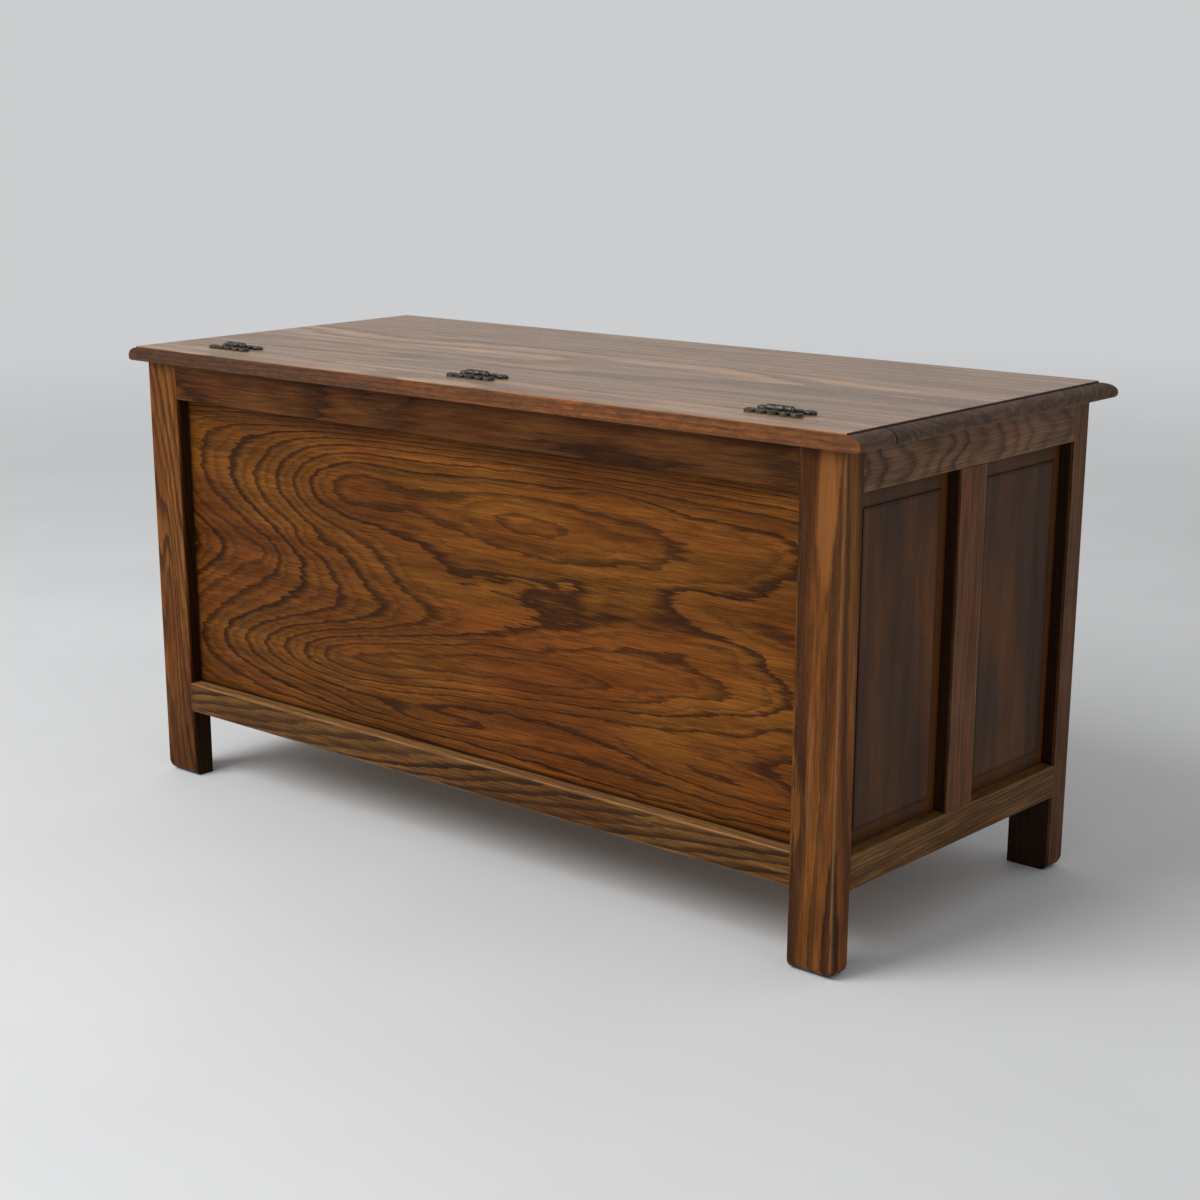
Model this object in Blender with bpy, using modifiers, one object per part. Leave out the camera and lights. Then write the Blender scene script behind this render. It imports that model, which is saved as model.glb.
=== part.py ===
"""An oak blanket chest: framed and panelled carcase, fixed hinge strip, moulded lid on butterfly hinges.

Metres, +Z up. The front faces -Y, the plain back and the hinges are at +Y, and the origin is on the
floor under the middle of the top. Run it in Blender's text editor or with blender --background --python.
"""

import math

import bmesh
import bpy
from mathutils import Matrix, Vector

# Overall sizes
TOP_LONG = 1.053
TOP_DEEP = 0.464
TOP_HIGH = 0.530
BOARD_THICK = 0.0177
BACK_OVERHANG = 0.012
FRONT_OVERHANG = 0.0185
END_OVERHANG = 0.0215

# Working allowances
GAP = 0.0003
OVERRUN = 0.004

# Framing stock
STOCK = 0.0275
POST_LONG = 0.051
RAIL_LOW = 0.084
BOTTOM_RAIL_HIGH = 0.0365
TOP_RAIL_HIGH = 0.042
END_MUNTIN_WIDE = 0.0446
FRONT_MUNTIN_WIDE = 0.0446
FRONT_PANEL_COUNT = 4
END_PANEL_COUNT = 2
ARRIS = 0.0012
RAIL_UNDER_ROUND = 0.003
RAIL_ARRIS = 0.001
RAIL_STEPS = 3
FOOT_ROUND = 0.011
FOOT_STEPS = 5

# Joints of the framing
TENON_THICK = 0.009
LONG_MORTISE_WALL = 0.026
END_MORTISE_WALL = 0.0095
MUNTIN_TENON = 0.014
TENON_SHOULDER = 0.0045
GROOVE_DEEP = 0.008
HAUNCH = 0.0025

# Panels
FIELDED_RECESS = 0.016
FIELDED_TONGUE = 0.005
FIELD_BEVEL_WIDE = 0.018
FIELD_BEVEL_RISE = 0.0035
FIELD_STEP = 0.0015
FIELD_STEP_SLOPE = 0.0004
BACK_RECESS = 0.016
BACK_PANEL_THICK = 0.006

# Bottom of the chest
CLEAT = 0.018
CLEAT_LOW = 0.088
BOTTOM_THICK = 0.009

# Moulded edge of the top
MOULD_WIDE = 0.015
MOULD_QUIRK = 0.002
MOULD_ROUND_HIGH = 0.0102
MOULD_UNDER_ROUND = 0.0045
MOULD_STEPS = 8
UNDER_STEPS = 4

# Hinge strip and seam
STRIP_DEEP = 0.058
SEAM = 0.001
STRIP_ARRIS = 0.002

# Hinges
HINGE_FROM_END = 0.1305
HINGE_COUNT = 3
BARREL_RADIUS = 0.0038
BARREL_LONG = 0.029
KNUCKLE_COUNT = 3
KNUCKLE_GAP = 0.0004
KNUCKLE_RUN = 0.00035
PIN_RADIUS = 0.0016
PIN_RUN = 0.00015
PIN_HEAD_RADIUS = 0.0027
PIN_HEAD_LONG = 0.0016
LEAF_THICK = 0.0026
LEAF_REACH = 0.0162
LEAF_EDGE = 0.067
LEAF_WAIST = 0.010
LOBE_COUNT = 5
LOBE_DEEP = 0.0048
LOBE_STEPS = 8
FLANK_STEPS = 6
ROUND_STEPS = 24

# Hinge screws
SCREW_FROM_AXIS = 0.0102
SCREW_HEAD_RADIUS = 0.0027
SCREW_HEAD_DEEP = 0.0015
SCREW_SHANK_RADIUS = 0.0012
SCREW_LONG = 0.011
SCREW_TIP = 0.002
SCREW_STEPS = 12

# Places that follow from the sizes
BACK_EDGE = TOP_DEEP / 2
CARCASE_BACK = BACK_EDGE - BACK_OVERHANG
CARCASE_FRONT = FRONT_OVERHANG - TOP_DEEP / 2
CARCASE_DEEP = CARCASE_BACK - CARCASE_FRONT
CARCASE_MIDDLE = (CARCASE_BACK + CARCASE_FRONT) / 2
CARCASE_LONG = TOP_LONG - 2 * END_OVERHANG
LONG_HALF_RUN = CARCASE_LONG / 2 - POST_LONG
END_HALF_RUN = CARCASE_DEEP / 2 - STOCK
CARCASE_HIGH = TOP_HIGH - BOARD_THICK - GAP
LONG_RAIL_TENON = POST_LONG - LONG_MORTISE_WALL
END_RAIL_TENON = STOCK - END_MORTISE_WALL
OPEN_LOW = RAIL_LOW + BOTTOM_RAIL_HIGH
OPEN_HIGH = CARCASE_HIGH - TOP_RAIL_HIGH
BOARD_LOW = TOP_HIGH - BOARD_THICK
STRIP_FRONT = BACK_EDGE - STRIP_DEEP
AXIS_Y = STRIP_FRONT - SEAM / 2
AXIS_Z = TOP_HIGH + GAP + BARREL_RADIUS
LOBE_WIDE = LEAF_EDGE / LOBE_COUNT
SCREW_SPACING = 2 * LOBE_WIDE

FINISHES = {
    "back oak": ((0.235, 0.105, 0.040), 0.42, 0.0),
    "frame oak": ((0.150, 0.070, 0.032), 0.45, 0.0),
    "end panel oak": ((0.085, 0.045, 0.030), 0.45, 0.0),
    "top oak": ((0.330, 0.240, 0.190), 0.38, 0.0),
    "inside timber": ((0.330, 0.220, 0.130), 0.70, 0.0),
    "antique brass": ((0.110, 0.095, 0.065), 0.42, 1.0),
}


def clear_scene():
    """Remove every object that the file opened with."""
    for obj in list(bpy.data.objects):
        bpy.data.objects.remove(obj, do_unlink=True)


def make_collection(name, is_helper=False):
    """Add a collection to the scene; a helper collection is kept out of renders."""
    collection = bpy.data.collections.new(name)
    bpy.context.scene.collection.children.link(collection)
    collection.hide_render = is_helper
    return collection


clear_scene()
CHEST = make_collection("Blanket chest")
CUTTERS = make_collection("Cutters", is_helper=True)


def make_material(name):
    """A Principled BSDF with the named finish."""
    colour, roughness, metallic = FINISHES[name]
    material = bpy.data.materials.new(name)
    material.use_nodes = True
    shader = material.node_tree.nodes["Principled BSDF"]
    shader.inputs["Base Color"].default_value = (*colour, 1.0)
    shader.inputs["Roughness"].default_value = roughness
    shader.inputs["Metallic"].default_value = metallic
    material.diffuse_color = (*colour, 1.0)
    return material


MATERIALS = {name: make_material(name) for name in FINISHES}


def add_piece(name, mesh, finish):
    """A visible part of the chest."""
    obj = bpy.data.objects.new(name, mesh)
    mesh.materials.clear()
    mesh.materials.append(MATERIALS[finish])
    CHEST.objects.link(obj)
    return obj


def add_helper(name, mesh):
    """A cutter, or a piece that is joined to another."""
    obj = bpy.data.objects.new(name, mesh)
    obj.hide_render = True
    obj.display_type = "WIRE"
    CUTTERS.objects.link(obj)
    return obj


def mesh_from(bm, name):
    """Finish a bmesh as a mesh with its faces pointing out."""
    bmesh.ops.recalc_face_normals(bm, faces=bm.faces)
    mesh = bpy.data.meshes.new(name)
    bm.to_mesh(mesh)
    bm.free()
    return mesh


def box_bmesh(low, high):
    """A box between two corners."""
    low = Vector(low)
    high = Vector(high)
    bm = bmesh.new()
    matrix = Matrix.Translation((low + high) / 2) @ Matrix.Diagonal((*(high - low), 1))
    bmesh.ops.create_cube(bm, size=1, matrix=matrix)
    return bm


def box_mesh(name, low, high):
    """A plain box as a mesh."""
    return mesh_from(box_bmesh(low, high), name)


def cylinder_bmesh(bm, radius, start, end, steps=ROUND_STEPS):
    """Add a capped cylinder along X between two places."""
    turn = Matrix.Rotation(math.pi / 2, 4, "Y")
    matrix = Matrix.Translation(((start + end) / 2, 0, 0)) @ turn
    depth = end - start
    bmesh.ops.create_cone(
        bm, cap_ends=True, segments=steps, radius1=radius, radius2=radius, depth=depth, matrix=matrix
    )


def boolean(target, other, operation):
    """Join another solid to this one, or cut it away."""
    modifier = target.modifiers.new(f"{operation.lower()} {other.name}", "BOOLEAN")
    modifier.operation = operation
    modifier.solver = "EXACT"
    modifier.object = other


def bevel(target, width, steps):
    """Ease the edges that carry a weight."""
    modifier = target.modifiers.new("eased edges", "BEVEL")
    modifier.width = width
    modifier.segments = steps
    modifier.limit_method = "WEIGHT"


def evaluated_mesh(obj, name):
    """The mesh that the modifiers give, as data of its own."""
    graph = bpy.context.evaluated_depsgraph_get()
    mesh = bpy.data.meshes.new_from_object(obj.evaluated_get(graph))
    mesh.name = name
    return mesh


def outline_mesh(name, points, half_thickness):
    """A flat outline as a closed plate, drawn as a filled curve and then made a mesh."""
    curve = bpy.data.curves.new(name, "CURVE")
    curve.dimensions = "2D"
    curve.fill_mode = "BOTH"
    curve.extrude = half_thickness
    spline = curve.splines.new("POLY")
    spline.points.add(len(points) - 1)
    for point, (x, y) in zip(spline.points, points):
        point.co = (x, y, 0, 1)
    spline.use_cyclic_u = True
    drawn = bpy.data.objects.new(name, curve)
    CUTTERS.objects.link(drawn)
    mesh = evaluated_mesh(drawn, name)
    bpy.data.objects.remove(drawn)
    bpy.data.curves.remove(curve)
    bm = bmesh.new()
    bm.from_mesh(mesh)
    bmesh.ops.remove_doubles(bm, verts=bm.verts, dist=GAP / 10)
    bpy.data.meshes.remove(mesh)
    return mesh_from(bm, name)


class Side:
    """One framed side: its own x runs along it, its y goes inward from the outer face."""

    def __init__(self, name, half_run, place, turn, posts):
        self.name = name
        self.half_run = half_run
        self.place = place
        self.turn = turn
        self.posts = posts

    def put(self, obj):
        """Stand a piece drawn in this side's frame at its place on the carcase."""
        obj.location = self.place
        obj.rotation_euler = (0, 0, self.turn)
        return obj

    def piece(self, name, mesh, finish):
        """A visible piece of this side."""
        return self.put(add_piece(name, mesh, finish))

    def helper(self, name, low, high):
        """A helper box of this side."""
        return self.put(add_helper(name, box_mesh(name, low, high)))


FRONT = Side("front", LONG_HALF_RUN, (0, CARCASE_FRONT, 0), 0, ("front_left", "front_right"))
BACK = Side("back", LONG_HALF_RUN, (0, CARCASE_BACK, 0), math.pi, ("back_right", "back_left"))
LEFT = Side("left", END_HALF_RUN, (-CARCASE_LONG / 2, CARCASE_MIDDLE, 0), -math.pi / 2,
            ("back_left", "front_left"))
RIGHT = Side("right", END_HALF_RUN, (CARCASE_LONG / 2, CARCASE_MIDDLE, 0), math.pi / 2,
             ("front_right", "back_right"))


def grown(low, high, allowance):
    """A box's corners, moved out on every side."""
    return [value - allowance for value in low], [value + allowance for value in high]


def add_tenon(side, owner, receiver, name, low, high):
    """Join a tenon to its owner, and cut the mortise that takes it."""
    boolean(owner, side.helper(f"{name} tenon", low, high), "UNION")
    boolean(receiver, side.helper(f"{name} mortise", *grown(low, high, GAP)), "DIFFERENCE")


def build_posts():
    """Four corner posts, each a stile of the long side, with rounded outer foot edges."""
    posts = {}
    for name, outward_x, outward_y in (
        ("front_left", -1, -1),
        ("front_right", 1, -1),
        ("back_left", -1, 1),
        ("back_right", 1, 1),
    ):
        corner = Vector((outward_x * CARCASE_LONG / 2, CARCASE_MIDDLE + outward_y * CARCASE_DEEP / 2, 0))
        across = Vector((-outward_x * POST_LONG, -outward_y * STOCK, CARCASE_HIGH))
        low = [min(a, b) for a, b in zip(corner, corner + across)]
        high = [max(a, b) for a, b in zip(corner, corner + across)]
        bm = box_bmesh(low, high)
        weights = bm.edges.layers.float.new("bevel_weight_edge")
        for edge in bm.edges:
            middle = (edge.verts[0].co + edge.verts[1].co) / 2
            is_upright = abs(edge.verts[0].co.z - edge.verts[1].co.z) > CARCASE_HIGH / 2
            is_outer_x = abs(middle.x - corner.x) < GAP
            is_outer_y = abs(middle.y - corner.y) < GAP
            if is_upright and is_outer_x and is_outer_y:
                edge[weights] = ARRIS / FOOT_ROUND
            elif middle.z < GAP and (is_outer_x or is_outer_y):
                edge[weights] = 1
        posts[name] = add_piece(f"post_{name}", mesh_from(bm, f"post_{name}"), "frame oak")
        bevel(posts[name], FOOT_ROUND, FOOT_STEPS)
    return posts


def rail_mesh(name, run, low, high):
    """A rail's body with weights on its outer long edges: a fuller round under a bottom rail."""
    bm = box_bmesh((-run, 0, low), (run, STOCK, high))
    weights = bm.edges.layers.float.new("bevel_weight_edge")
    for edge in bm.edges:
        first, second = (vert.co for vert in edge.verts)
        is_outer = abs(first.x - second.x) > run and first.y < GAP
        if is_outer and first.z < RAIL_LOW + GAP:
            edge[weights] = 1
        elif is_outer and first.z < CARCASE_HIGH - GAP:
            edge[weights] = RAIL_ARRIS / RAIL_UNDER_ROUND
    return mesh_from(bm, name)


def build_rail(side, posts, level, low, high, tenon_long, opening_edge):
    """A rail between two posts. The tenons stand back from the panel groove by a haunch."""
    name = f"rail_{side.name}_{level}"
    rail = side.piece(name, rail_mesh(name, side.half_run - GAP, low, high), "frame oak")
    bevel(rail, RAIL_UNDER_ROUND, RAIL_STEPS)
    tenon_low = low + TENON_SHOULDER
    tenon_high = high - TENON_SHOULDER
    if opening_edge == high:
        tenon_high = high - GROOVE_DEEP - HAUNCH
    else:
        tenon_low = low + GROOVE_DEEP + HAUNCH
    near = (STOCK - TENON_THICK) / 2
    far = (STOCK + TENON_THICK) / 2
    root = side.half_run - TENON_SHOULDER
    tip = side.half_run + tenon_long
    left, right = (posts[post] for post in side.posts)
    add_tenon(side, rail, left, f"{name} left", (-tip, near, tenon_low), (-root, far, tenon_high))
    add_tenon(side, rail, right, f"{name} right", (root, near, tenon_low), (tip, far, tenon_high))
    return rail


def build_muntins(side, rails, count, wide, recess, thick):
    """Uprights that share out the opening, tenoned into both rails and grooved for the panels."""
    muntins = []
    bay = (2 * side.half_run - count * wide) / (count + 1)
    near = (STOCK - TENON_THICK) / 2
    far = (STOCK + TENON_THICK) / 2
    for index in range(count):
        middle = -side.half_run + (index + 1) * bay + index * wide + wide / 2
        name = f"muntin_{side.name}" if count == 1 else f"muntin_{side.name}_{index + 1}"
        low = (middle - wide / 2, 0, OPEN_LOW + GAP)
        high = (middle + wide / 2, STOCK, OPEN_HIGH - GAP)
        muntin = side.piece(name, box_mesh(name, low, high), "frame oak")
        half_tenon = wide / 2 - GROOVE_DEEP - HAUNCH
        add_tenon(
            side, muntin, rails["bottom"], f"{name} foot",
            (middle - half_tenon, near, OPEN_LOW - MUNTIN_TENON),
            (middle + half_tenon, far, OPEN_LOW + TENON_SHOULDER),
        )
        add_tenon(
            side, muntin, rails["top"], f"{name} head",
            (middle - half_tenon, near, OPEN_HIGH - TENON_SHOULDER),
            (middle + half_tenon, far, OPEN_HIGH + MUNTIN_TENON),
        )
        for label, start, end in (
            ("left", middle - wide / 2 - OVERRUN, middle - wide / 2 + GROOVE_DEEP),
            ("right", middle + wide / 2 - GROOVE_DEEP, middle + wide / 2 + OVERRUN),
        ):
            groove = side.helper(
                f"{name} {label} groove",
                (start, recess - GAP, OPEN_LOW - OVERRUN),
                (end, recess + thick + GAP, OPEN_HIGH + OVERRUN),
            )
            boolean(muntin, groove, "DIFFERENCE")
        muntins.append(muntin)
    return bay


def cut_grooves(side, posts, rails, recess, thick):
    """Plough the panel groove along both rails and up both posts."""
    near = recess - GAP
    far = recess + thick + GAP
    past = side.half_run + OVERRUN
    for level, low, high in (
        ("bottom", OPEN_LOW - GROOVE_DEEP, OPEN_LOW + OVERRUN),
        ("top", OPEN_HIGH - OVERRUN, OPEN_HIGH + GROOVE_DEEP),
    ):
        name = f"rail {side.name} {level} groove"
        boolean(rails[level], side.helper(name, (-past, near, low), (past, far, high)), "DIFFERENCE")
    for post, way in zip(side.posts, (-1, 1)):
        ends = sorted((way * (side.half_run - OVERRUN), way * (side.half_run + GROOVE_DEEP)))
        groove = side.helper(
            f"post {post} {side.name} groove",
            (ends[0], near, OPEN_LOW - GROOVE_DEEP),
            (ends[1], far, OPEN_HIGH + GROOVE_DEEP),
        )
        boolean(posts[post], groove, "DIFFERENCE")


def fielded_panel_mesh(name, left, right):
    """A raised and fielded panel: a flat tongue, a sloping bevel, a small step and the flat field."""
    hold = GROOVE_DEEP - GAP
    back = FIELDED_RECESS + FIELDED_TONGUE
    bm = box_bmesh(
        (left - hold, FIELDED_RECESS, OPEN_LOW - hold), (right + hold, back, OPEN_HIGH + hold)
    )
    bm.faces.ensure_lookup_table()
    face = min(bm.faces, key=lambda candidate: candidate.calc_center_median().y)
    for width, rise in (
        (hold, 0),
        (FIELD_BEVEL_WIDE, FIELD_BEVEL_RISE),
        (FIELD_STEP_SLOPE, FIELD_STEP),
    ):
        bmesh.ops.inset_region(bm, faces=[face], thickness=width, depth=rise, use_even_offset=True)
    return mesh_from(bm, name)


def build_fielded_side(side, posts, rails, count, muntin_wide, names):
    """Muntins and raised panels across one side."""
    bay = build_muntins(side, rails, count - 1, muntin_wide, FIELDED_RECESS, FIELDED_TONGUE)
    cut_grooves(side, posts, rails, FIELDED_RECESS, FIELDED_TONGUE)
    for index, name in enumerate(names):
        left = -side.half_run + index * (bay + muntin_wide)
        side.piece(name, fielded_panel_mesh(name, left, left + bay), "end panel oak")


def build_back_panel(posts, rails):
    """One large flat panel in the back frame."""
    cut_grooves(BACK, posts, rails, BACK_RECESS, BACK_PANEL_THICK)
    hold = GROOVE_DEEP - GAP
    run = BACK.half_run + hold
    mesh = box_mesh(
        "panel_back",
        (-run, BACK_RECESS, OPEN_LOW - hold),
        (run, BACK_RECESS + BACK_PANEL_THICK, OPEN_HIGH + hold),
    )
    BACK.piece("panel_back", mesh, "back oak")


def build_carcase():
    """Posts, four framed sides and the bottom."""
    posts = build_posts()
    rails = {}
    for side, tenon_long in (
        (FRONT, LONG_RAIL_TENON),
        (BACK, LONG_RAIL_TENON),
        (LEFT, END_RAIL_TENON),
        (RIGHT, END_RAIL_TENON),
    ):
        rails[side.name] = {
            "bottom": build_rail(side, posts, "bottom", RAIL_LOW, OPEN_LOW, tenon_long, OPEN_LOW),
            "top": build_rail(side, posts, "top", OPEN_HIGH, CARCASE_HIGH, tenon_long, OPEN_HIGH),
        }
    front_names = [f"panel_front_{index + 1}" for index in range(FRONT_PANEL_COUNT)]
    build_fielded_side(FRONT, posts, rails["front"], FRONT_PANEL_COUNT, FRONT_MUNTIN_WIDE, front_names)
    for side, names in (
        (LEFT, ("panel_left_back", "panel_left_front")),
        (RIGHT, ("panel_right_front", "panel_right_back")),
    ):
        build_fielded_side(side, posts, rails[side.name], END_PANEL_COUNT, END_MUNTIN_WIDE, names)
    build_back_panel(posts, rails["back"])
    build_bottom()


def build_bottom():
    """A bottom board that lies on cleats fixed round the inside of the bottom rails."""
    half_long = CARCASE_LONG / 2 - STOCK - GAP
    front = CARCASE_FRONT + STOCK + GAP
    back = CARCASE_BACK - STOCK - GAP
    top = CLEAT_LOW + CLEAT
    spans = {
        "cleat_front": ((-half_long, front), (half_long, front + CLEAT)),
        "cleat_back": ((-half_long, back - CLEAT), (half_long, back)),
        "cleat_left": ((-half_long, front + CLEAT + GAP), (CLEAT - half_long, back - CLEAT - GAP)),
        "cleat_right": ((half_long - CLEAT, front + CLEAT + GAP), (half_long, back - CLEAT - GAP)),
    }
    for name, (low, high) in spans.items():
        add_piece(name, box_mesh(name, (*low, CLEAT_LOW), (*high, top)), "inside timber")
    board = box_mesh(
        "bottom_board",
        (-half_long, front, top + GAP),
        (half_long, back, top + GAP + BOTTOM_THICK),
    )
    add_piece("bottom_board", board, "inside timber")


def moulding_points():
    """The waste outside the moulded edge: x outward from the flat of the top, y up from it."""
    points = [(0, OVERRUN), (0, -MOULD_QUIRK)]
    for step in range(1, MOULD_STEPS + 1):
        angle = math.pi / 2 * step / MOULD_STEPS
        drop = MOULD_QUIRK + MOULD_ROUND_HIGH * (1 - math.cos(angle))
        points.append((MOULD_WIDE * math.sin(angle), -drop))
    centre_x = MOULD_WIDE - MOULD_UNDER_ROUND
    centre_y = MOULD_UNDER_ROUND - BOARD_THICK
    for step in range(UNDER_STEPS + 1):
        angle = -math.pi / 2 * step / UNDER_STEPS
        x = centre_x + MOULD_UNDER_ROUND * math.cos(angle)
        points.append((x, centre_y + MOULD_UNDER_ROUND * math.sin(angle)))
    outside = MOULD_WIDE + OVERRUN
    below = -BOARD_THICK - OVERRUN
    points += [(centre_x, below), (outside, below), (outside, OVERRUN)]
    return points


def build_moulding_cutters():
    """One long cutter for each moulded edge, run past both ends as a spindle cutter is."""
    mesh = outline_mesh("moulding cutter", moulding_points(), TOP_LONG / 2 + OVERRUN)
    flat_end = TOP_LONG / 2 - MOULD_WIDE
    flat_front = MOULD_WIDE - TOP_DEEP / 2
    cutters = {}
    for name, place, turn in (
        ("right", (flat_end, 0, TOP_HIGH), 0),
        ("left", (-flat_end, 0, TOP_HIGH), math.pi),
        ("front", (0, flat_front, TOP_HIGH), -math.pi / 2),
    ):
        cutter = add_helper(f"moulding {name}", mesh)
        cutter.location = place
        cutter.rotation_euler = (math.pi / 2, 0, turn)
        cutters[name] = cutter
    return cutters


def board_bmesh(front, back, eased):
    """A board of the top, with a weight on the long edges that lie at the eased face."""
    bm = box_bmesh((-TOP_LONG / 2, front, BOARD_LOW), (TOP_LONG / 2, back, TOP_HIGH))
    weights = bm.edges.layers.float.new("bevel_weight_edge")
    for edge in bm.edges:
        first, second = (vert.co for vert in edge.verts)
        if abs(first.x - second.x) > TOP_LONG / 2 and abs(first.y - eased) < GAP:
            edge[weights] = 1
    return bm


def pilot_cutter(name, way):
    """The pilot holes of all the screws on one side of the seam."""
    bm = bmesh.new()
    depth = SCREW_LONG + GAP + OVERRUN
    bottom = AXIS_Z - TOP_HIGH + SCREW_LONG
    for x in hinge_places():
        for screw in (-SCREW_SPACING / 2, SCREW_SPACING / 2):
            place = (x + screw, way * SCREW_FROM_AXIS, depth / 2 - bottom)
            bmesh.ops.create_cone(
                bm, cap_ends=True, segments=SCREW_STEPS, radius1=SCREW_SHANK_RADIUS + GAP,
                radius2=SCREW_SHANK_RADIUS + GAP, depth=depth, matrix=Matrix.Translation(place),
            )
    cutter = add_helper(name, mesh_from(bm, name))
    cutter.location = (0, AXIS_Y, AXIS_Z)
    return cutter


def hinge_places():
    """Where the hinges stand along the seam."""
    first = HINGE_FROM_END - TOP_LONG / 2
    spacing = -2 * first / (HINGE_COUNT - 1)
    return [first + index * spacing for index in range(HINGE_COUNT)]


def build_top(axis):
    """The fixed strip behind the seam, and the lid in front of it."""
    cutters = build_moulding_cutters()
    strip = add_piece("hinge_strip", mesh_from(board_bmesh(STRIP_FRONT, BACK_EDGE, BACK_EDGE), "strip"),
                      "top oak")
    bevel(strip, STRIP_ARRIS, UNDER_STEPS)
    lid_back = STRIP_FRONT - SEAM
    lid = add_piece("lid", box_mesh("lid", (-TOP_LONG / 2, -TOP_DEEP / 2, BOARD_LOW),
                                    (TOP_LONG / 2, lid_back, TOP_HIGH)), "top oak")
    for name in ("left", "right"):
        boolean(strip, cutters[name], "DIFFERENCE")
        boolean(lid, cutters[name], "DIFFERENCE")
    boolean(lid, cutters["front"], "DIFFERENCE")
    boolean(strip, pilot_cutter("strip pilot holes", 1), "DIFFERENCE")
    boolean(lid, pilot_cutter("lid pilot holes", -1), "DIFFERENCE")
    hang(lid, axis)


def hang(obj, axis):
    """Parent a moving piece to the hinge axis and leave it where it is."""
    obj.parent = axis
    obj.matrix_parent_inverse = Matrix.Translation(axis.location).inverted()


def leaf_points():
    """Half a butterfly: a narrow waist at the barrel, hollow flanks and a scalloped outer edge."""
    cusp = LEAF_REACH - LOBE_DEEP
    points = [(-BARREL_LONG / 2, 0)]
    for step in range(FLANK_STEPS + 1):
        share = step / FLANK_STEPS
        x = BARREL_LONG / 2 + (LEAF_EDGE - BARREL_LONG) / 2 * share ** 2
        points.append((-x, LEAF_WAIST * (1 - share) / 2 + cusp * share))
    for lobe in range(LOBE_COUNT):
        middle = -LEAF_EDGE / 2 + lobe * LOBE_WIDE + LOBE_WIDE / 2
        for step in range(1, LOBE_STEPS + 1):
            angle = math.pi * (1 - step / LOBE_STEPS)
            x = middle + LOBE_WIDE / 2 * math.cos(angle)
            points.append((x, cusp + LOBE_DEEP * math.sin(angle)))
    for step in range(FLANK_STEPS):
        share = 1 - (step + 1) / FLANK_STEPS
        x = BARREL_LONG / 2 + (LEAF_EDGE - BARREL_LONG) / 2 * share ** 2
        points.append((x, LEAF_WAIST * (1 - share) / 2 + cusp * share))
    points.append((BARREL_LONG / 2, 0))
    return points


def knuckles(is_strip):
    """The spans of one leaf's knuckles along the barrel, and those of the other leaf."""
    pitch = BARREL_LONG / KNUCKLE_COUNT
    own = []
    other = []
    for index in range(KNUCKLE_COUNT):
        start = -BARREL_LONG / 2 + index * pitch
        is_own = (index % 2 == 0) == is_strip
        (own if is_own else other).append((start, start + pitch))
    return own, other


def leaf_mesh(is_strip):
    """One leaf, drawn about the barrel's axis with its plate towards +Y: plate, knuckles, bore and holes."""
    name = "strip leaf" if is_strip else "lid leaf"
    plate = add_helper(f"{name} plate", outline_mesh(name, leaf_points(), LEAF_THICK / 2))
    plate_mid = LEAF_THICK / 2 - BARREL_RADIUS
    plate.location = (0, 0, plate_mid)
    own, other = knuckles(is_strip)
    joined = bmesh.new()
    cleared = bmesh.new()
    for start, end in own:
        inner_start = start + (KNUCKLE_GAP / 2 if start > -BARREL_LONG / 2 + GAP else 0)
        inner_end = end - (KNUCKLE_GAP / 2 if end < BARREL_LONG / 2 - GAP else 0)
        cylinder_bmesh(joined, BARREL_RADIUS, inner_start, inner_end)
    for start, end in other:
        outer_start = start - (KNUCKLE_GAP / 2 if start > -BARREL_LONG / 2 + GAP else OVERRUN)
        outer_end = end + (KNUCKLE_GAP / 2 if end < BARREL_LONG / 2 - GAP else OVERRUN)
        cylinder_bmesh(cleared, BARREL_RADIUS + KNUCKLE_RUN, outer_start, outer_end)
    bore = bmesh.new()
    cylinder_bmesh(bore, PIN_RADIUS + PIN_RUN, -BARREL_LONG, BARREL_LONG)
    boolean(plate, add_helper(f"{name} cleared", mesh_from(cleared, "cleared")), "DIFFERENCE")
    boolean(plate, add_helper(f"{name} knuckles", mesh_from(joined, "knuckles")), "UNION")
    boolean(plate, add_helper(f"{name} bore", mesh_from(bore, "bore")), "DIFFERENCE")
    for x in (-SCREW_SPACING / 2, SCREW_SPACING / 2):
        hole = add_helper(f"{name} screw hole", turned_mesh("screw hole", screw_profile(GAP, OVERRUN)))
        hole.location = (x, SCREW_FROM_AXIS, LEAF_THICK - BARREL_RADIUS)
        boolean(plate, hole, "DIFFERENCE")
    mesh = evaluated_mesh(plate, name)
    mesh.transform(Matrix.Translation((0, 0, plate_mid)))
    smooth(mesh)
    return mesh


def smooth(mesh):
    """Shade round faces smooth and keep the corners sharp."""
    mesh.shade_smooth()
    mesh.set_sharp_from_angle(angle=math.radians(35))


def screw_profile(allowance=0.0, above=0.0):
    """Half the outline of a countersunk screw, from its top down. With an allowance it is the hole."""
    head = SCREW_HEAD_RADIUS + allowance
    shank = SCREW_SHANK_RADIUS + allowance
    points = [(0, above), (head, above)]
    if above:
        points.append((head, 0))
    points.append((shank, -SCREW_HEAD_DEEP - allowance))
    points.append((shank, SCREW_TIP - SCREW_LONG))
    points.append((0, -SCREW_LONG - allowance))
    return points


def pin_profile():
    """Half the outline of a hinge pin with a button at each end, from its top down."""
    neck = BARREL_LONG / 2 + PIN_RUN
    tip = neck + PIN_HEAD_LONG
    edge = neck + PIN_HEAD_LONG / 2
    upper = [(0, tip), (PIN_HEAD_RADIUS * 3 / 4, tip), (PIN_HEAD_RADIUS, edge)]
    upper += [(PIN_HEAD_RADIUS, neck), (PIN_RADIUS, neck)]
    return upper + [(radius, -height) for radius, height in reversed(upper)]


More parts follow.
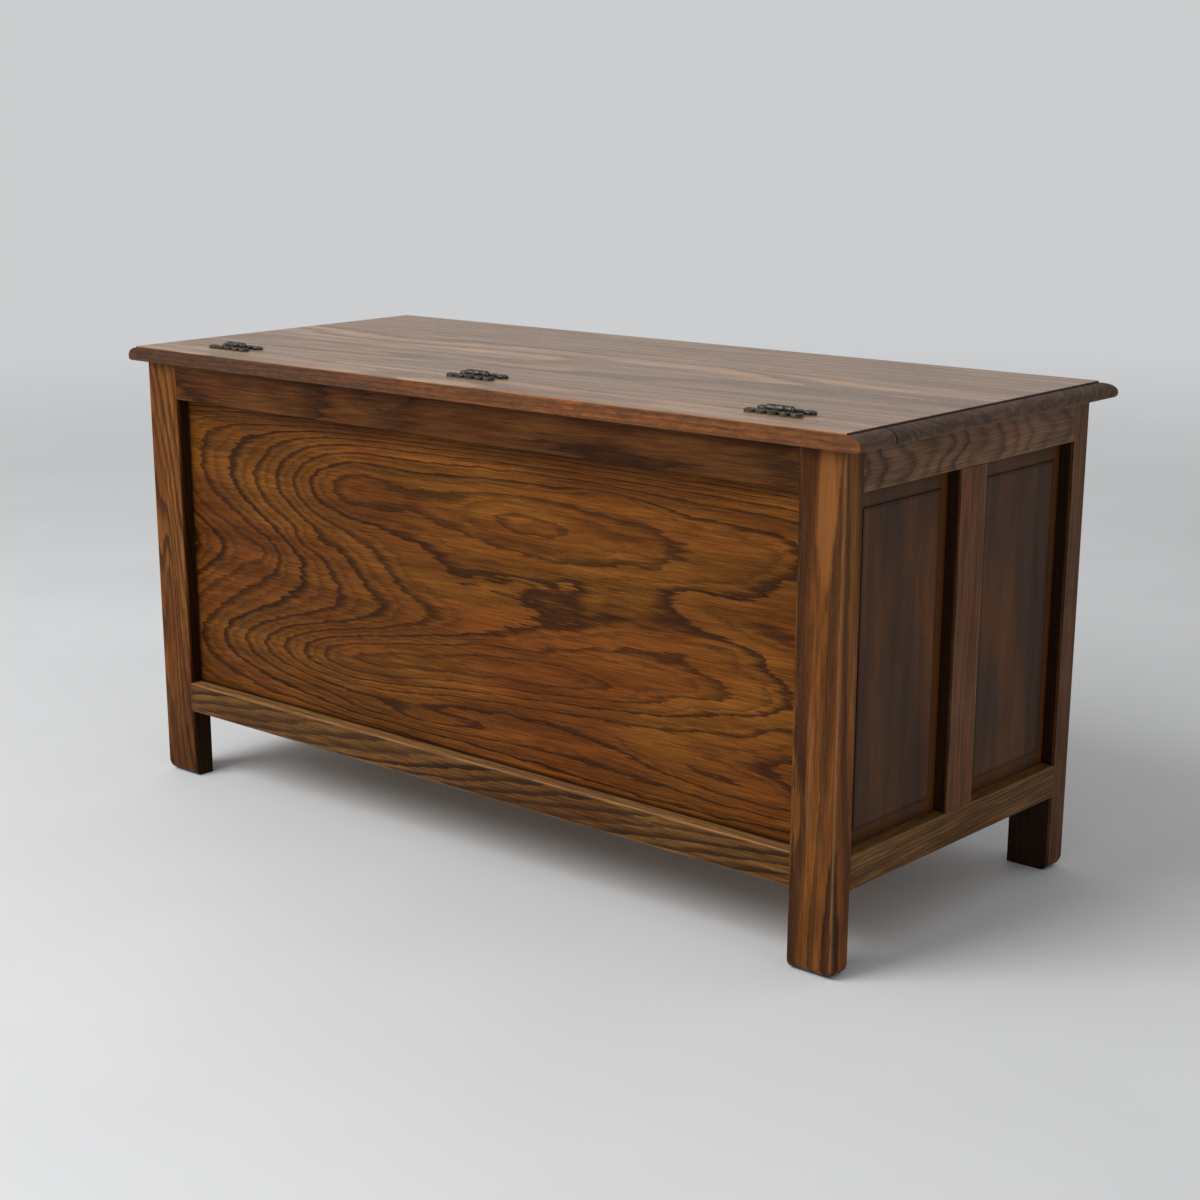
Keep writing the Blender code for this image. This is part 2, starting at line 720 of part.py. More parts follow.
def turned_mesh(name, profile, steps=SCREW_STEPS):
    """A profile turned about Z."""
    bm = bmesh.new()
    verts = [bm.verts.new((radius, 0, height)) for radius, height in profile]
    for first, second in zip(verts, verts[1:]):
        bm.edges.new((first, second))
    mesh = bpy.data.meshes.new(name)
    bm.to_mesh(mesh)
    bm.free()
    drawn = bpy.data.objects.new(name, mesh)
    CUTTERS.objects.link(drawn)
    modifier = drawn.modifiers.new("turned", "SCREW")
    modifier.steps = steps
    modifier.render_steps = steps
    modifier.use_merge_vertices = True
    modifier.merge_threshold = GAP / 10
    turned = evaluated_mesh(drawn, name)
    bpy.data.objects.remove(drawn)
    bm = bmesh.new()
    bm.from_mesh(turned)
    bpy.data.meshes.remove(turned)
    finished = mesh_from(bm, name)
    smooth(finished)
    return finished


def build_hinges(axis):
    """Three butterfly hinges laid on the top across the seam, each with its pin and screws."""
    strip_mesh = leaf_mesh(is_strip=True)
    lid_mesh = leaf_mesh(is_strip=False)
    pin_mesh = turned_mesh("pin", pin_profile(), ROUND_STEPS)
    screw_mesh = turned_mesh("hinge screw", screw_profile())
    screw_top = AXIS_Z + LEAF_THICK - BARREL_RADIUS
    for number, x in enumerate(hinge_places(), start=1):
        strip_leaf = add_piece(f"hinge_{number}_strip_leaf", strip_mesh, "antique brass")
        strip_leaf.location = (x, AXIS_Y, AXIS_Z)
        lid_leaf = add_piece(f"hinge_{number}_lid_leaf", lid_mesh, "antique brass")
        lid_leaf.location = (x, AXIS_Y, AXIS_Z)
        lid_leaf.rotation_euler = (0, 0, math.pi)
        hang(lid_leaf, axis)
        pin = add_piece(f"hinge_{number}_pin", pin_mesh, "antique brass")
        pin.location = (x, AXIS_Y, AXIS_Z)
        pin.rotation_euler = (0, math.pi / 2, 0)
        for side, way in (("strip", 1), ("lid", -1)):
            for count, screw_x in enumerate((-SCREW_SPACING / 2, SCREW_SPACING / 2), start=1):
                screw = add_piece(f"screw_{number}_{side}_{count}", screw_mesh, "antique brass")
                screw.location = (x + screw_x, AXIS_Y + way * SCREW_FROM_AXIS, screw_top)
                if side == "lid":
                    hang(screw, axis)


def main():
    """Build the whole chest, closed."""
    axis = bpy.data.objects.new("lid hinge axis", None)
    axis.location = (0, AXIS_Y, AXIS_Z)
    CHEST.objects.link(axis)
    build_carcase()
    build_top(axis)
    build_hinges(axis)


main()
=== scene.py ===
"""An oak blanket chest in a plain studio, seen from its hinged back.

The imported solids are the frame. This file gives each of them its own oak or brass, adds the finer
metalwork of the hinges and sets the light and the camera. Metres, +Z up, hinges at +Y, floor at zero.
"""

import logging
import math
from dataclasses import dataclass, field, replace
from enum import Enum
from functools import reduce

import bpy
from mathutils import Matrix, Vector


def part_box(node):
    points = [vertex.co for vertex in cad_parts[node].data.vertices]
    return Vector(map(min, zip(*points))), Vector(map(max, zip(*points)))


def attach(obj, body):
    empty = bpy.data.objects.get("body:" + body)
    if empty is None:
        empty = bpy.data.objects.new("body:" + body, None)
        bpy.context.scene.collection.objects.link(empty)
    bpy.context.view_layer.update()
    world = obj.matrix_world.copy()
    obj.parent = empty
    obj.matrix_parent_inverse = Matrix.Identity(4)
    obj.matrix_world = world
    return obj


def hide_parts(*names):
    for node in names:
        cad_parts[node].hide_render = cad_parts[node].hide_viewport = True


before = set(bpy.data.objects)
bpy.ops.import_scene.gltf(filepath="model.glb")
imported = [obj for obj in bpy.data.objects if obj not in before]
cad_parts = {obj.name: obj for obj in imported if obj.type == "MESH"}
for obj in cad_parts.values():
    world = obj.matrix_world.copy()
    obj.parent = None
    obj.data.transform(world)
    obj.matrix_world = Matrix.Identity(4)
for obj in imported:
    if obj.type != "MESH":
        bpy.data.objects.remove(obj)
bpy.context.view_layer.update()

log = logging.getLogger("blanket chest")

Span = tuple[float, float]
Triple = tuple[float, float, float]
Limits = tuple[float, float, float, float]
Rgb = tuple[float, float, float]
Piece = bpy.types.Object
Socket = bpy.types.NodeSocket
Feed = Socket | float | tuple[float, ...] | Vector

ZERO: Triple = (0.0, 0.0, 0.0)


class Grain(Enum):
    """The way that a board's grain runs, as the order in which X, Y and Z are read."""

    ALONG_X = (0, 1, 2)
    ALONG_Y = (1, 0, 2)
    ALONG_Z = (2, 0, 1)
    UPRIGHT = (2, 1, 0)


class Body(Enum):
    """The two bodies that the pieces ride on."""

    CARCASE = "carcase"
    LID = "lid"


@dataclass(frozen=True)
class Pattern:
    """A noise: the length and breadth of its swells, and its finer layers' number and strength."""

    long: float
    wide: float
    detail: float
    roughness: float


# The wood's marks along and across its grain, and those of the metal and the floor.
TONGUES = Pattern(0.045, 0.0045, 1.0, 0.5)
FIBRES = Pattern(0.035, 0.0011, 2.0, 0.6)
STREAKS = Pattern(0.05, 0.0016, 3.0, 0.6)
PORES = Pattern(0.006, 0.00045, 1.0, 0.5)
BLOTCHES = Pattern(0.016, 0.005, 3.0, 0.65)
TARNISH = Pattern(0.006, 0.006, 3.0, 0.6)
GRIT = Pattern(0.0009, 0.0009, 2.0, 0.6)
FLOOR_CLOUDS = Pattern(0.4, 0.4, 3.0, 0.5)

# Where a mark starts and is full in its noise, and then its value before and after, if not 0 and 1.
YEAR_STRENGTH = (0.0, 1.0, 0.6, 1.0)
PATCH_LIMITS = (0.35, 0.68)
STREAK_LIMITS = (0.3, 0.7)
PORE_LIMITS = (0.52, 0.68)
FLAME_LIMITS = (0.35, 0.75)
BLOTCH_TONES = (0.35, 0.65, 0.72, 1.26)
LEDGE_HIGHLIGHT_STREAKS = (0.38, 0.62, 0.35, 1.15)
EDGE_WEAR_AND_HIGHLIGHT_STREAKS = (0.35, 0.6, 0.35, 1.0)
TARNISH_LIMITS = (0.4, 0.7)
GRIT_WEAR = (0.3, 0.6, 0.3, 1.0)
FLOOR_TONES = (0.2, 0.8, 0.97, 1.03)

# Depths below a face, in metres, given in the same way.
FADED_SKIN = (0.0005, 0.0015, 1.3, 1.0)
LEDGE_HIGHLIGHT_SKIN = (0.0006, 0.0022, 1.0, 0.0)
TOP_SKIN = (0.0003, 0.0016)
END_STEP = (0.0125, 0.0145, 1.0, 0.0)
BACK_STEP = (0.0006, 0.0014)
SEAM_CLEAR = (0.004, 0.008)
SEAM_EDGE = (0.0004, 0.0016, 1.0, 0.0)
PAINTED_GLOW_DEPTH = (0.014, 0.026, 1.0, 0.0)
RECESS_SHADE_DEPTH = (0.0012, 0.005)

# Where the quirk of a moulding starts, is full, starts to fade and ends.
QUIRK_ACROSS = (0.0125, 0.0138, 0.0152, 0.0160)
QUIRK_DOWN = (0.0002, 0.0008, 0.003, 0.004)

# How far the noise of one board's rings and marks lies from the next board's.
RING_SHIFT = (3.1, 1.7, 2.3)
MARK_SHIFT = (5.3, 2.9, 4.1)

WAVE_WIDE = 0.07
PATCH_SLIM = 3
CLOUD_SLIM = 14
FIBRE_RINGS = 0.32
PORES_IN_RINGS = 0.7
FLAME_STREAKS = 0.7
CORNER_START = 0.0004
CORNER_WEAR_AND_HIGHLIGHT = 2.2
STREAK_ROUGH = 0.16
PORE_ROUGH = 0.15
FLANK_ROUGH = 0.45
STREAK_HIGH = 0.5
RING_DEEP = 0.25
PORE_DEEP = 0.5


class NodeBench:
    """Puts together the nodes of one tree."""

    def __init__(self, tree: bpy.types.NodeTree) -> None:
        """Start on the tree that the nodes are put in."""
        self.nodes = tree.nodes
        self.links = tree.links

    def feed(self, socket: Socket, value: Feed) -> None:
        """Link another node's output to a socket, or set its value.

        Args:
            socket: The input that is fed.
            value: An output of another node, or a number, colour or vector.
        """
        if isinstance(value, Socket):
            self.links.new(value, socket)
        else:
            socket.default_value = value

    def fed(self, kind: str, *values: Feed, **settings: str) -> bpy.types.Node:
        """A new node with its inputs fed.

        Args:
            kind: The node's type.
            values: Its inputs in order.
            settings: Its other settings by name.

        Returns:
            The node.
        """
        node = self.nodes.new(kind)
        for name, setting in settings.items():
            setattr(node, name, setting)
        for socket, value in zip(node.inputs, values):
            self.feed(socket, value)
        return node

    def sum(self, operation: str, *values: Feed) -> Socket:
        """The result of one operation on numbers."""
        return self.fed("ShaderNodeMath", *values, operation=operation).outputs["Value"]

    def product(self, *values: Feed) -> Socket:
        """Numbers multiplied together."""
        return reduce(lambda one, other: self.sum("MULTIPLY", one, other), values)

    def vector(self, operation: str, *values: Feed) -> Socket:
        """The result of one operation on vectors."""
        node = self.fed("ShaderNodeVectorMath", *values, operation=operation)
        return node.outputs["Value" if operation in {"LENGTH", "DOT_PRODUCT"} else "Vector"]

    def parts(self, vector: Feed) -> tuple[Socket, ...]:
        """The X, Y and Z of a vector."""
        return tuple(self.fed("ShaderNodeSeparateXYZ", vector).outputs)

    def joined(self, *values: Feed) -> Socket:
        """A vector of three numbers."""
        return self.fed("ShaderNodeCombineXYZ", *values).outputs[0]

    def mapped(self, vector: Feed, centre: Feed, turn: Triple, size: Triple) -> Socket:
        """A vector measured from a centre, along turned axes, in steps of a size."""
        node = self.fed("ShaderNodeMapping", vector, centre, turn, size, vector_type="TEXTURE")
        return node.outputs["Vector"]

    def noise(self, pattern: Pattern, place: Feed, centre: Feed = ZERO) -> Socket:
        """Smooth noise between 0 and 1.

        Args:
            pattern: Its size and fineness.
            place: Where it is read.
            centre: Where it starts.

        Returns:
            The noise.
        """
        read = self.mapped(place, centre, ZERO, (pattern.long, pattern.wide, pattern.wide))
        inputs = (0.0, 1.0, pattern.detail, pattern.roughness)
        return self.fed("ShaderNodeTexNoise", read, *inputs).outputs[0]

    def eased(self, value: Feed, start: float, end: float, low: float = 0.0, high: float = 1.0) -> Socket:
        """A number eased from low, at the start of a value's range, to high at its end."""
        limits = (value, start, end, low, high)
        return self.fed("ShaderNodeMapRange", *limits, interpolation_type="SMOOTHSTEP").outputs["Result"]

    def between(self, value: Feed, limits: Limits) -> Socket:
        """1 between the inner two of four limits, eased to 0 at the outer two."""
        rise = self.eased(value, *limits[:2])
        return self.product(rise, self.eased(value, *limits[2:], 1.0, 0.0))

    def curve(self, value: Feed, stops: tuple[Span, ...]) -> Socket:
        """A number read off a broken line.

        Args:
            value: Where it is read, from 0 to 1.
            stops: The corners of the line, each a place and a height.

        Returns:
            The height there.
        """
        node = self.fed("ShaderNodeValToRGB", value)
        corners = node.color_ramp.elements
        while len(corners) < len(stops):
            corners.new(0.5)
        for corner, (place, height) in zip(corners, stops):
            corner.position = place
            corner.color = (height, height, height, 1.0)
        return node.outputs["Color"]

    def blend(self, amount: Feed, under: Feed, over: Feed, manner: str = "MIX") -> Socket:
        """One colour laid over another.

        Args:
            amount: How much of the upper colour shows.
            under: The lower colour.
            over: The upper colour.
            manner: The Mix node's blend type.

        Returns:
            The mixed colour.
        """
        node = self.fed("ShaderNodeMix", amount, data_type="RGBA", blend_type=manner)
        for socket, colour in zip(node.inputs[6:8], (under, over)):
            self.feed(socket, colour if isinstance(colour, Socket) else (*colour, 1.0))
        return node.outputs[2]

    def shaded(self, colour: Feed, tone: Feed) -> Socket:
        """A colour made lighter or darker by a number."""
        return self.blend(1.0, colour, self.joined(tone, tone, tone), "MULTIPLY")


class ShaderBench(NodeBench):
    """Puts together one material about its Principled shader."""

    def __init__(self, name: str) -> None:
        """Start the material.

        Args:
            name: What it is called.
        """
        self.material = bpy.data.materials.new(name)
        self.material.use_nodes = True
        super().__init__(self.material.node_tree)
        self.shader = self.nodes["Principled BSDF"]
        self.place = self.nodes.new("ShaderNodeTexCoord").outputs["Object"]

    def give(self, name: str, value: Feed) -> None:
        """Feed the shader's input of that name."""
        self.feed(self.shader.inputs[name], value)

    def bump(self, height: Feed, depth: float) -> None:
        """Raise the surface by a height.

        Args:
            height: The height as a share of the depth.
            depth: The full height in metres.
        """
        node = self.nodes.new("ShaderNodeBump")
        self.feed(node.inputs["Strength"], 0.5)
        self.feed(node.inputs["Distance"], depth)
        self.feed(node.inputs["Height"], height)
        self.give("Normal", node.outputs["Normal"])


class PieceBench(ShaderBench):
    """Puts together the material of one squared piece, by where a point lies in its box."""

    def __init__(self, finish: str, node: str) -> None:
        """Start the material and measure the piece.

        Args:
            finish: The name of the finish.
            node: The solid that the piece is or stands for.
        """
        super().__init__(f"{finish} {node}")
        self.low, self.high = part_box(node)

    def insets(self) -> tuple[Socket, ...]:
        """How far a point lies from the nearer side along X, Y and Z.

        Returns:
            The three distances.
        """
        to_low = self.vector("SUBTRACT", self.place, self.low)
        to_high = self.vector("SUBTRACT", self.high, self.place)
        return self.parts(self.vector("MINIMUM", to_low, to_high))

    def edge_nearness(self, reach: float) -> Socket:
        """How near a point is to the piece's long edges.

        Args:
            reach: How far in from an edge the nearness fades out.

        Returns:
            1 on an edge and 0 past the reach.
        """
        x, y, z = self.insets()
        smaller = self.sum("MINIMUM", x, y)
        larger = self.sum("MAXIMUM", x, y)
        second = self.sum("MAXIMUM", smaller, self.sum("MINIMUM", larger, z))
        return self.eased(second, 0.0, reach, 1.0, 0.0)

    def depth_below(self, *faces: str) -> Socket:
        """How deep a point lies below the nearest of some outer faces.

        Args:
            faces: The faces, such as +Y.

        Returns:
            The depth in metres.
        """
        places = self.parts(self.place)
        depths = []
        for sign, letter in faces:
            axis = "XYZ".index(letter)
            ends = (self.high[axis], places[axis]) if sign == "+" else (places[axis], self.low[axis])
            depths.append(self.sum("SUBTRACT", *ends))
        return reduce(lambda one, other: self.sum("MINIMUM", one, other), depths)

    def rim_distance(self) -> Socket:
        """How far a point of a flat panel lies from its nearest side.

        Returns:
            The distance in metres.
        """
        spans = self.high - self.low
        thin = min(range(3), key=lambda axis: spans[axis])
        sides = [inset for axis, inset in enumerate(self.insets()) if axis != thin]
        return self.sum("MINIMUM", *sides)


# How dark the wood is across one growth ring, as places and heights.
FINE_RING = ((0.0, 0.0), (0.05, 1.0), (0.16, 0.80), (0.36, 0.12), (0.95, 0.0))
BROAD_RING = ((0.0, 0.0), (0.08, 1.0), (0.35, 0.80), (0.60, 0.10), (0.95, 0.0))
TWIN_RING = (
    *((0.0, 0.0), (0.05, 1.0), (0.19, 0.84), (0.36, 0.12), (0.50, 0.03)),
    *((0.56, 0.50), (0.64, 0.34), (0.78, 0.06), (0.95, 0.0)),
)
SOFT_RING = ((0.0, 0.40), (0.10, 1.0), (0.26, 0.60), (0.50, 0.05), (0.78, 0.0), (1.0, 0.40))


@dataclass(frozen=True)
class Hill:
    """A swelling in the growth rings, which the saw opens into nested loops.

    Attributes:
        along: Its middle along the board.
        across: Its middle across the board.
        long: How far it reaches along the board.
        wide: How far it reaches across the board.
        rings: How many rings high it is.
        turn: How its length leans, in degrees.
    """

    along: float
    across: float
    long: float
    wide: float
    rings: float
    turn: float = 0.0


@dataclass(frozen=True)
class Board:
    """How one piece was sawn from the tree.

    Attributes:
        grain: The way the grain runs.
        pith: The tree's heart from the piece's middle, the two ways across the grain.
        lean: How the heart leans those ways, in degrees.
        ring: The breadth of one growth ring.
        wander: How far the rings wander.
        wander_long: The length of one wave of that wandering.
        tongues: How far, in rings, the dark wood reaches out in tongues.
        seed: Sets this board apart from the others.
        hills: Swellings placed on its face.
        start: The rings counted at zero on a board with hills.
        slope: The rings that such a board gains in a metre, each way.
        faces: Its outer faces, such as +Y, below which it is painted dark as shade on its recessed sides.
        profile: How dark the wood is across one ring.
        thin: Two places along it, and how many times thinner the dark wood is there.
        bands: Its planks, as shares of the breadth and how light the wood is there.
        glow: The side of a panel whose bevel gets a painted orange highlight.
        fade: Two places along it, and how light it is there.
        faded: A side that has faded lighter.
        flames: Pale tongues of sapwood, as hills whose rings are how pale they are.
        seam: The side that meets the next board of a top.
    """

    grain: Grain
    pith: Span = (0.02, 0.06)
    lean: Span = (1.0, 0.5)
    ring: float = 0.0035
    wander: float = 0.006
    wander_long: float = 0.22
    tongues: float = 0.25
    seed: float = 0.0
    hills: tuple[Hill, ...] = ()
    start: float = 0.0
    slope: Triple = (0.0, 0.0, 0.0)
    faces: tuple[str, ...] = ()
    profile: tuple[Span, ...] = FINE_RING
    thin: Limits = (0.0, 1.0, 1.0, 1.0)
    bands: tuple[Span, ...] = ()
    glow: str = ""
    fade: Limits = (0.0, 1.0, 1.0, 1.0)
    faded: str = ""
    flames: tuple[Hill, ...] = ()
    seam: str = ""


@dataclass(frozen=True)
class Oak:
    """Stained, polished oak.

    Attributes:
        name: What it is called.
        pale: The wood between the rings.
        dark: The open wood of a ring.
        warm: The warmer patches.
        wear_and_highlight: Rubbed wear on the edges, partly a painted highlight on their arrises, and the
            painted highlight on a bevel and on the top of a bottom rail.
        painted_shade_and_joint_dirt: Painted shade in quirks, steps, recessed sides and along a panel's
            sides, and dirt in a seam.
        painted_glow: The painted orange highlight on one side of a panel's bevel.
        sap: The pale tongues.
        contrast: How strongly the rings show.
        edge_wear_and_highlight: How strongly the edges are rubbed pale, as wear and as a painted
            highlight.
        edge_mark_wide: How far that wear and painted highlight reach.
        roughness: The roughness of the polish.
        gloss: How much the polish reflects.
        streaks: How strong the streaks along the grain are.
        clouds: How strong the broader streaks are.
        patch: The length of a patch of colour.
        bevel: Where a panel's bevel starts, is full, starts to fade and ends, which is painted lighter as
            a highlight.
        step: The same for the painted shade along its step.
        rim: Where the painted shade along a panel's sides fades.
        ledge_highlight: How much lighter the top of a bottom rail is painted, as a highlight.
        flank: How much of each colour is left on the moulded sides, which lack the face's painted sheen.
        ends: How much is left on the moulded ends, where it differs.
    """

    name: str
    pale: Rgb
    dark: Rgb
    warm: Rgb
    wear_and_highlight: Rgb
    painted_shade_and_joint_dirt: Rgb = (0.012, 0.006, 0.003)
    painted_glow: Rgb = (0.130, 0.042, 0.010)
    sap: Rgb = (0.270, 0.100, 0.026)
    contrast: float = 0.9
    edge_wear_and_highlight: float = 0.6
    edge_mark_wide: float = 0.0035
    roughness: float = 0.42
    gloss: float = 0.08
    streaks: float = 0.3
    clouds: float = 0.2
    patch: float = 0.16
    bevel: Limits | None = None
    step: Limits | None = None
    rim: Span | None = None
    ledge_highlight: float = 0.0
    flank: Rgb | None = None
    ends: Rgb | None = None

    def dress(self, node: str, board: Board) -> None:
        """Give a solid this finish, as that board."""
        dress(node, OakPainter(self, board, node).paint())


class OakPainter(PieceBench):
    """Paints one board of oak, coat over coat.

    It keeps the place along and across the grain, the same from the board's middle along its leaning
    heart, the fading, streaks, rings and pores that several coats share, and the colour so far.
    """

    def __init__(self, oak: Oak, board: Board, node: str) -> None:
        """Lay out the board's growth, which all its coats follow.

        Args:
            oak: The finish.
            board: How the board was sawn.
            node: The solid that it is.
        """
        super().__init__(oak.name, node)
        self.oak = oak
        self.board = board
        places = self.parts(self.place)
        middle = (self.low + self.high) / 2
        leans = (0.0, math.radians(board.lean[1]), math.radians(board.lean[0]))
        self.grained = [places[axis] for axis in board.grain.value]
        centre = [middle[axis] for axis in board.grain.value]
        self.local = self.mapped(self.joined(*self.grained), centre, leans, (1.0, 1.0, 1.0))
        self.light = self.eased(self.grained[0], *board.fade)
        self.streak = self.mark(STREAKS)

        count = self.count_rings()
        through = self.product(self.sum("FRACT", count), self.eased(self.grained[0], *board.thin))
        year = self.fed("ShaderNodeTexWhiteNoise", noise_dimensions="1D")
        self.feed(year.inputs["W"], self.sum("FLOOR", count))
        strength = self.eased(year.outputs["Value"], *YEAR_STRENGTH)
        self.ring = self.product(self.curve(through, board.profile), strength)
        pore = self.eased(self.mark(PORES), *PORE_LIMITS)
        in_ring = self.sum("MULTIPLY_ADD", self.ring, PORES_IN_RINGS, 1 - PORES_IN_RINGS)
        self.pore = self.product(pore, in_ring)
        self.colour = self.wood()

    def mark(self, pattern: Pattern, shift: Triple = MARK_SHIFT) -> Socket:
        """Noise along this board's own grain."""
        return self.noise(pattern, self.local, tuple(self.board.seed * share for share in shift))

    def heaped(self, height: Socket, hills: tuple[Hill, ...]) -> Socket:
        """Raise a height by the hills on the board's face.

        Args:
            height: The height without them.
            hills: The hills.

        Returns:
            The height with them.
        """
        face = self.joined(self.grained[0], 1.0, self.grained[2])
        for hill in hills:
            cosine = math.cos(math.radians(hill.turn))
            sine = math.sin(math.radians(hill.turn))
            shift = hill.along * cosine + hill.across * sine
            rise = hill.across * cosine - hill.along * sine
            lengthways = (cosine / hill.long, -shift / hill.long, sine / hill.long)
            crossways = (-sine / hill.wide, -rise / hill.wide, cosine / hill.wide)
            far = self.vector("DOT_PRODUCT", face, lengthways)
            off = self.vector("DOT_PRODUCT", face, crossways)
            square = self.sum("MULTIPLY_ADD", off, off, self.product(far, far))
            swell = self.sum("POWER", 1 / math.e, square)
            height = self.sum("MULTIPLY_ADD", swell, hill.rings, height)
        return height

    def count_rings(self) -> Socket:
        """Count the growth rings at each point, over the board's hills or from the heart.

        Returns:
            The count.
        """
        board = self.board
        waves = Pattern(board.wander_long, WAVE_WIDE, 1.5, 0.45)
        noises = [self.mark(pattern, RING_SHIFT) for pattern in (waves, TONGUES, FIBRES)]
        wave, tongue, fibre = (self.sum("SUBTRACT", noise, 0.5) for noise in noises)
        if board.hills:
            level = self.vector("DOT_PRODUCT", self.joined(*self.grained), board.slope)
            count = self.sum("ADD", level, board.start)
            count = self.sum("MULTIPLY_ADD", wave, board.wander / board.ring, count)
            count = self.heaped(count, board.hills)
        else:
            _, across, through = self.parts(self.local)
            across = self.sum("SUBTRACT", across, board.pith[0])
            through = self.sum("SUBTRACT", through, board.pith[1])
            far = self.vector("LENGTH", self.joined(0.0, across, through))
            far = self.sum("MULTIPLY_ADD", wave, 2 * board.wander, far)
            count = self.sum("DIVIDE", far, board.ring)
        count = self.sum("MULTIPLY_ADD", tongue, board.tongues, count)
        return self.sum("MULTIPLY_ADD", fibre, FIBRE_RINGS, count)

    def wood(self) -> Socket:
        """The wood's own colour, with its patches, streaks, fading and planks.

        Returns:
            The colour without rings and pores.
        """
        oak = self.oak
        patch = self.mark(Pattern(oak.patch, oak.patch / PATCH_SLIM, 2.0, 0.5))
        cloud = self.mark(Pattern(oak.patch, oak.patch / CLOUD_SLIM, 2.0, 0.5))
        tones = [
            self.eased(self.streak, *STREAK_LIMITS, 1 - oak.streaks, 1 + oak.streaks),
            self.eased(cloud, *STREAK_LIMITS, 1 - oak.clouds, 1 + oak.clouds),
        ]
        if not oak.flank:
            tones.append(self.light)
        if self.board.faded:
            tones.append(self.eased(self.depth_below(self.board.faded), *FADED_SKIN))
        if self.board.bands:
            axis = self.board.grain.value[1]
            breadth = self.high[axis] - self.low[axis]
            across = self.sum("SUBTRACT", self.grained[1], self.low[axis])
            tones.append(self.curve(self.sum("DIVIDE", across, breadth), self.board.bands))
        wood = self.blend(self.eased(patch, *PATCH_LIMITS), oak.pale, oak.warm)
        return self.shaded(wood, self.product(*tones))

    def coat(self, colour: Rgb, *masks: Feed, strength: float) -> None:
        """Lay a colour over the coats so far, as strongly as given where every mask is 1."""
        self.colour = self.blend(self.product(*masks, strength), self.colour, colour)

    def below_top(self) -> Socket:
        """1 on the moulded sides of a top and 0 on its face."""
        return self.eased(self.depth_below("+Z"), *TOP_SKIN)

    def darken_flank(self) -> None:
        """Keep the moulded sides of a top darker than its face, whose pale colour is partly a painted
        sheen, with painted shade in their quirk.
        """
        oak = self.oak
        tone = self.product(self.light, self.eased(self.mark(BLOTCHES), *BLOTCH_TONES))
        left = self.shaded(oak.flank, tone)
        inset = self.depth_below("+X", "-X")
        inner = self.eased(self.depth_below("+Y"), *BACK_STEP)
        if oak.ends:
            left = self.blend(self.product(self.eased(inset, *END_STEP), inner), left, oak.ends)
        self.colour = self.blend(self.below_top(), self.colour, left, "MULTIPLY")
        # Painted shade in the quirk of the moulding.
        across = self.between(inset, QUIRK_ACROSS)
        down = self.between(self.depth_below("+Z"), QUIRK_DOWN)
        self.coat(oak.painted_shade_and_joint_dirt, across, down, inner, strength=0.85)

    def rub_and_highlight_edges(self) -> None:
        """Rub the edges pale in streaks, as wear and a painted highlight, but for a seam, which is dark
        with dirt.
        """
        # The pale edges are partly wear and partly a painted highlight; with several outer faces, only
        # the corner between them is painted.
        near = self.edge_nearness(self.oak.edge_mark_wide)
        if len(self.board.faces) > 1:
            corner = self.sum("MAXIMUM", *(self.depth_below(face) for face in self.board.faces))
            near = self.eased(corner, CORNER_START, self.oak.edge_mark_wide, CORNER_WEAR_AND_HIGHLIGHT, 0.0)
        masks = [near, self.eased(self.streak, *EDGE_WEAR_AND_HIGHLIGHT_STREAKS), self.light]
        if self.board.seam:
            away = self.depth_below(self.board.seam)
            masks.append(self.eased(away, *SEAM_CLEAR))
            joint = self.eased(away, *SEAM_EDGE)
            self.coat(self.oak.painted_shade_and_joint_dirt, joint, self.below_top(), strength=0.9)
        self.coat(self.oak.wear_and_highlight, *masks, strength=self.oak.edge_wear_and_highlight)

    def paint_bevel_highlight_and_step_shade(self) -> None:
        """Paint a highlight on the bevel of a fielded panel, and paint shade along its step."""
        rim = self.rim_distance()
        # Painted highlight on the bevel.
        self.coat(self.oak.wear_and_highlight, self.between(rim, self.oak.bevel), strength=0.3)
        # Painted shade along the step.
        self.coat(self.oak.painted_shade_and_joint_dirt, self.between(rim, self.oak.step), strength=0.55)

    def polish(self) -> None:
        """Give the surface its gloss, and the grain its relief."""
        rough = self.sum("MULTIPLY_ADD", self.streak, STREAK_ROUGH, self.oak.roughness - STREAK_ROUGH / 2)
        rough = self.sum("MULTIPLY_ADD", self.pore, PORE_ROUGH, rough)
        if self.oak.flank:
            rough = self.sum("MULTIPLY_ADD", self.below_top(), FLANK_ROUGH, rough)
        height = self.product(self.streak, STREAK_HIGH)
        height = self.sum("MULTIPLY_ADD", self.ring, -RING_DEEP, height)
        self.give("Base Color", self.colour)
        self.give("Specular IOR Level", self.oak.gloss)
        self.give("Roughness", rough)
        self.bump(self.sum("MULTIPLY_ADD", self.pore, -PORE_DEEP, height), depth=0.0004)

    def paint(self) -> bpy.types.Material:
        """Lay every coat that the board has.

        Returns:
            The finished material.
        """
        oak = self.oak
        board = self.board
        self.coat(oak.dark, self.ring, strength=oak.contrast)
        self.coat(oak.dark, self.pore, strength=0.6)
        if board.flames:
            tall = self.sum("MULTIPLY_ADD", self.streak, FLAME_STREAKS, -FLAME_STREAKS / 2)
            flame = self.eased(self.heaped(tall, board.flames), *FLAME_LIMITS)
            self.coat(oak.sap, flame, strength=0.65)
        # Painted highlight on the upward face of a bottom rail.
        if oak.ledge_highlight:
            skin = self.eased(self.depth_below("+Z"), *LEDGE_HIGHLIGHT_SKIN)
            self.coat(oak.wear_and_highlight, skin, self.eased(self.streak, *LEDGE_HIGHLIGHT_STREAKS), strength=oak.ledge_highlight)
        if oak.flank:
            self.darken_flank()
        self.rub_and_highlight_edges()
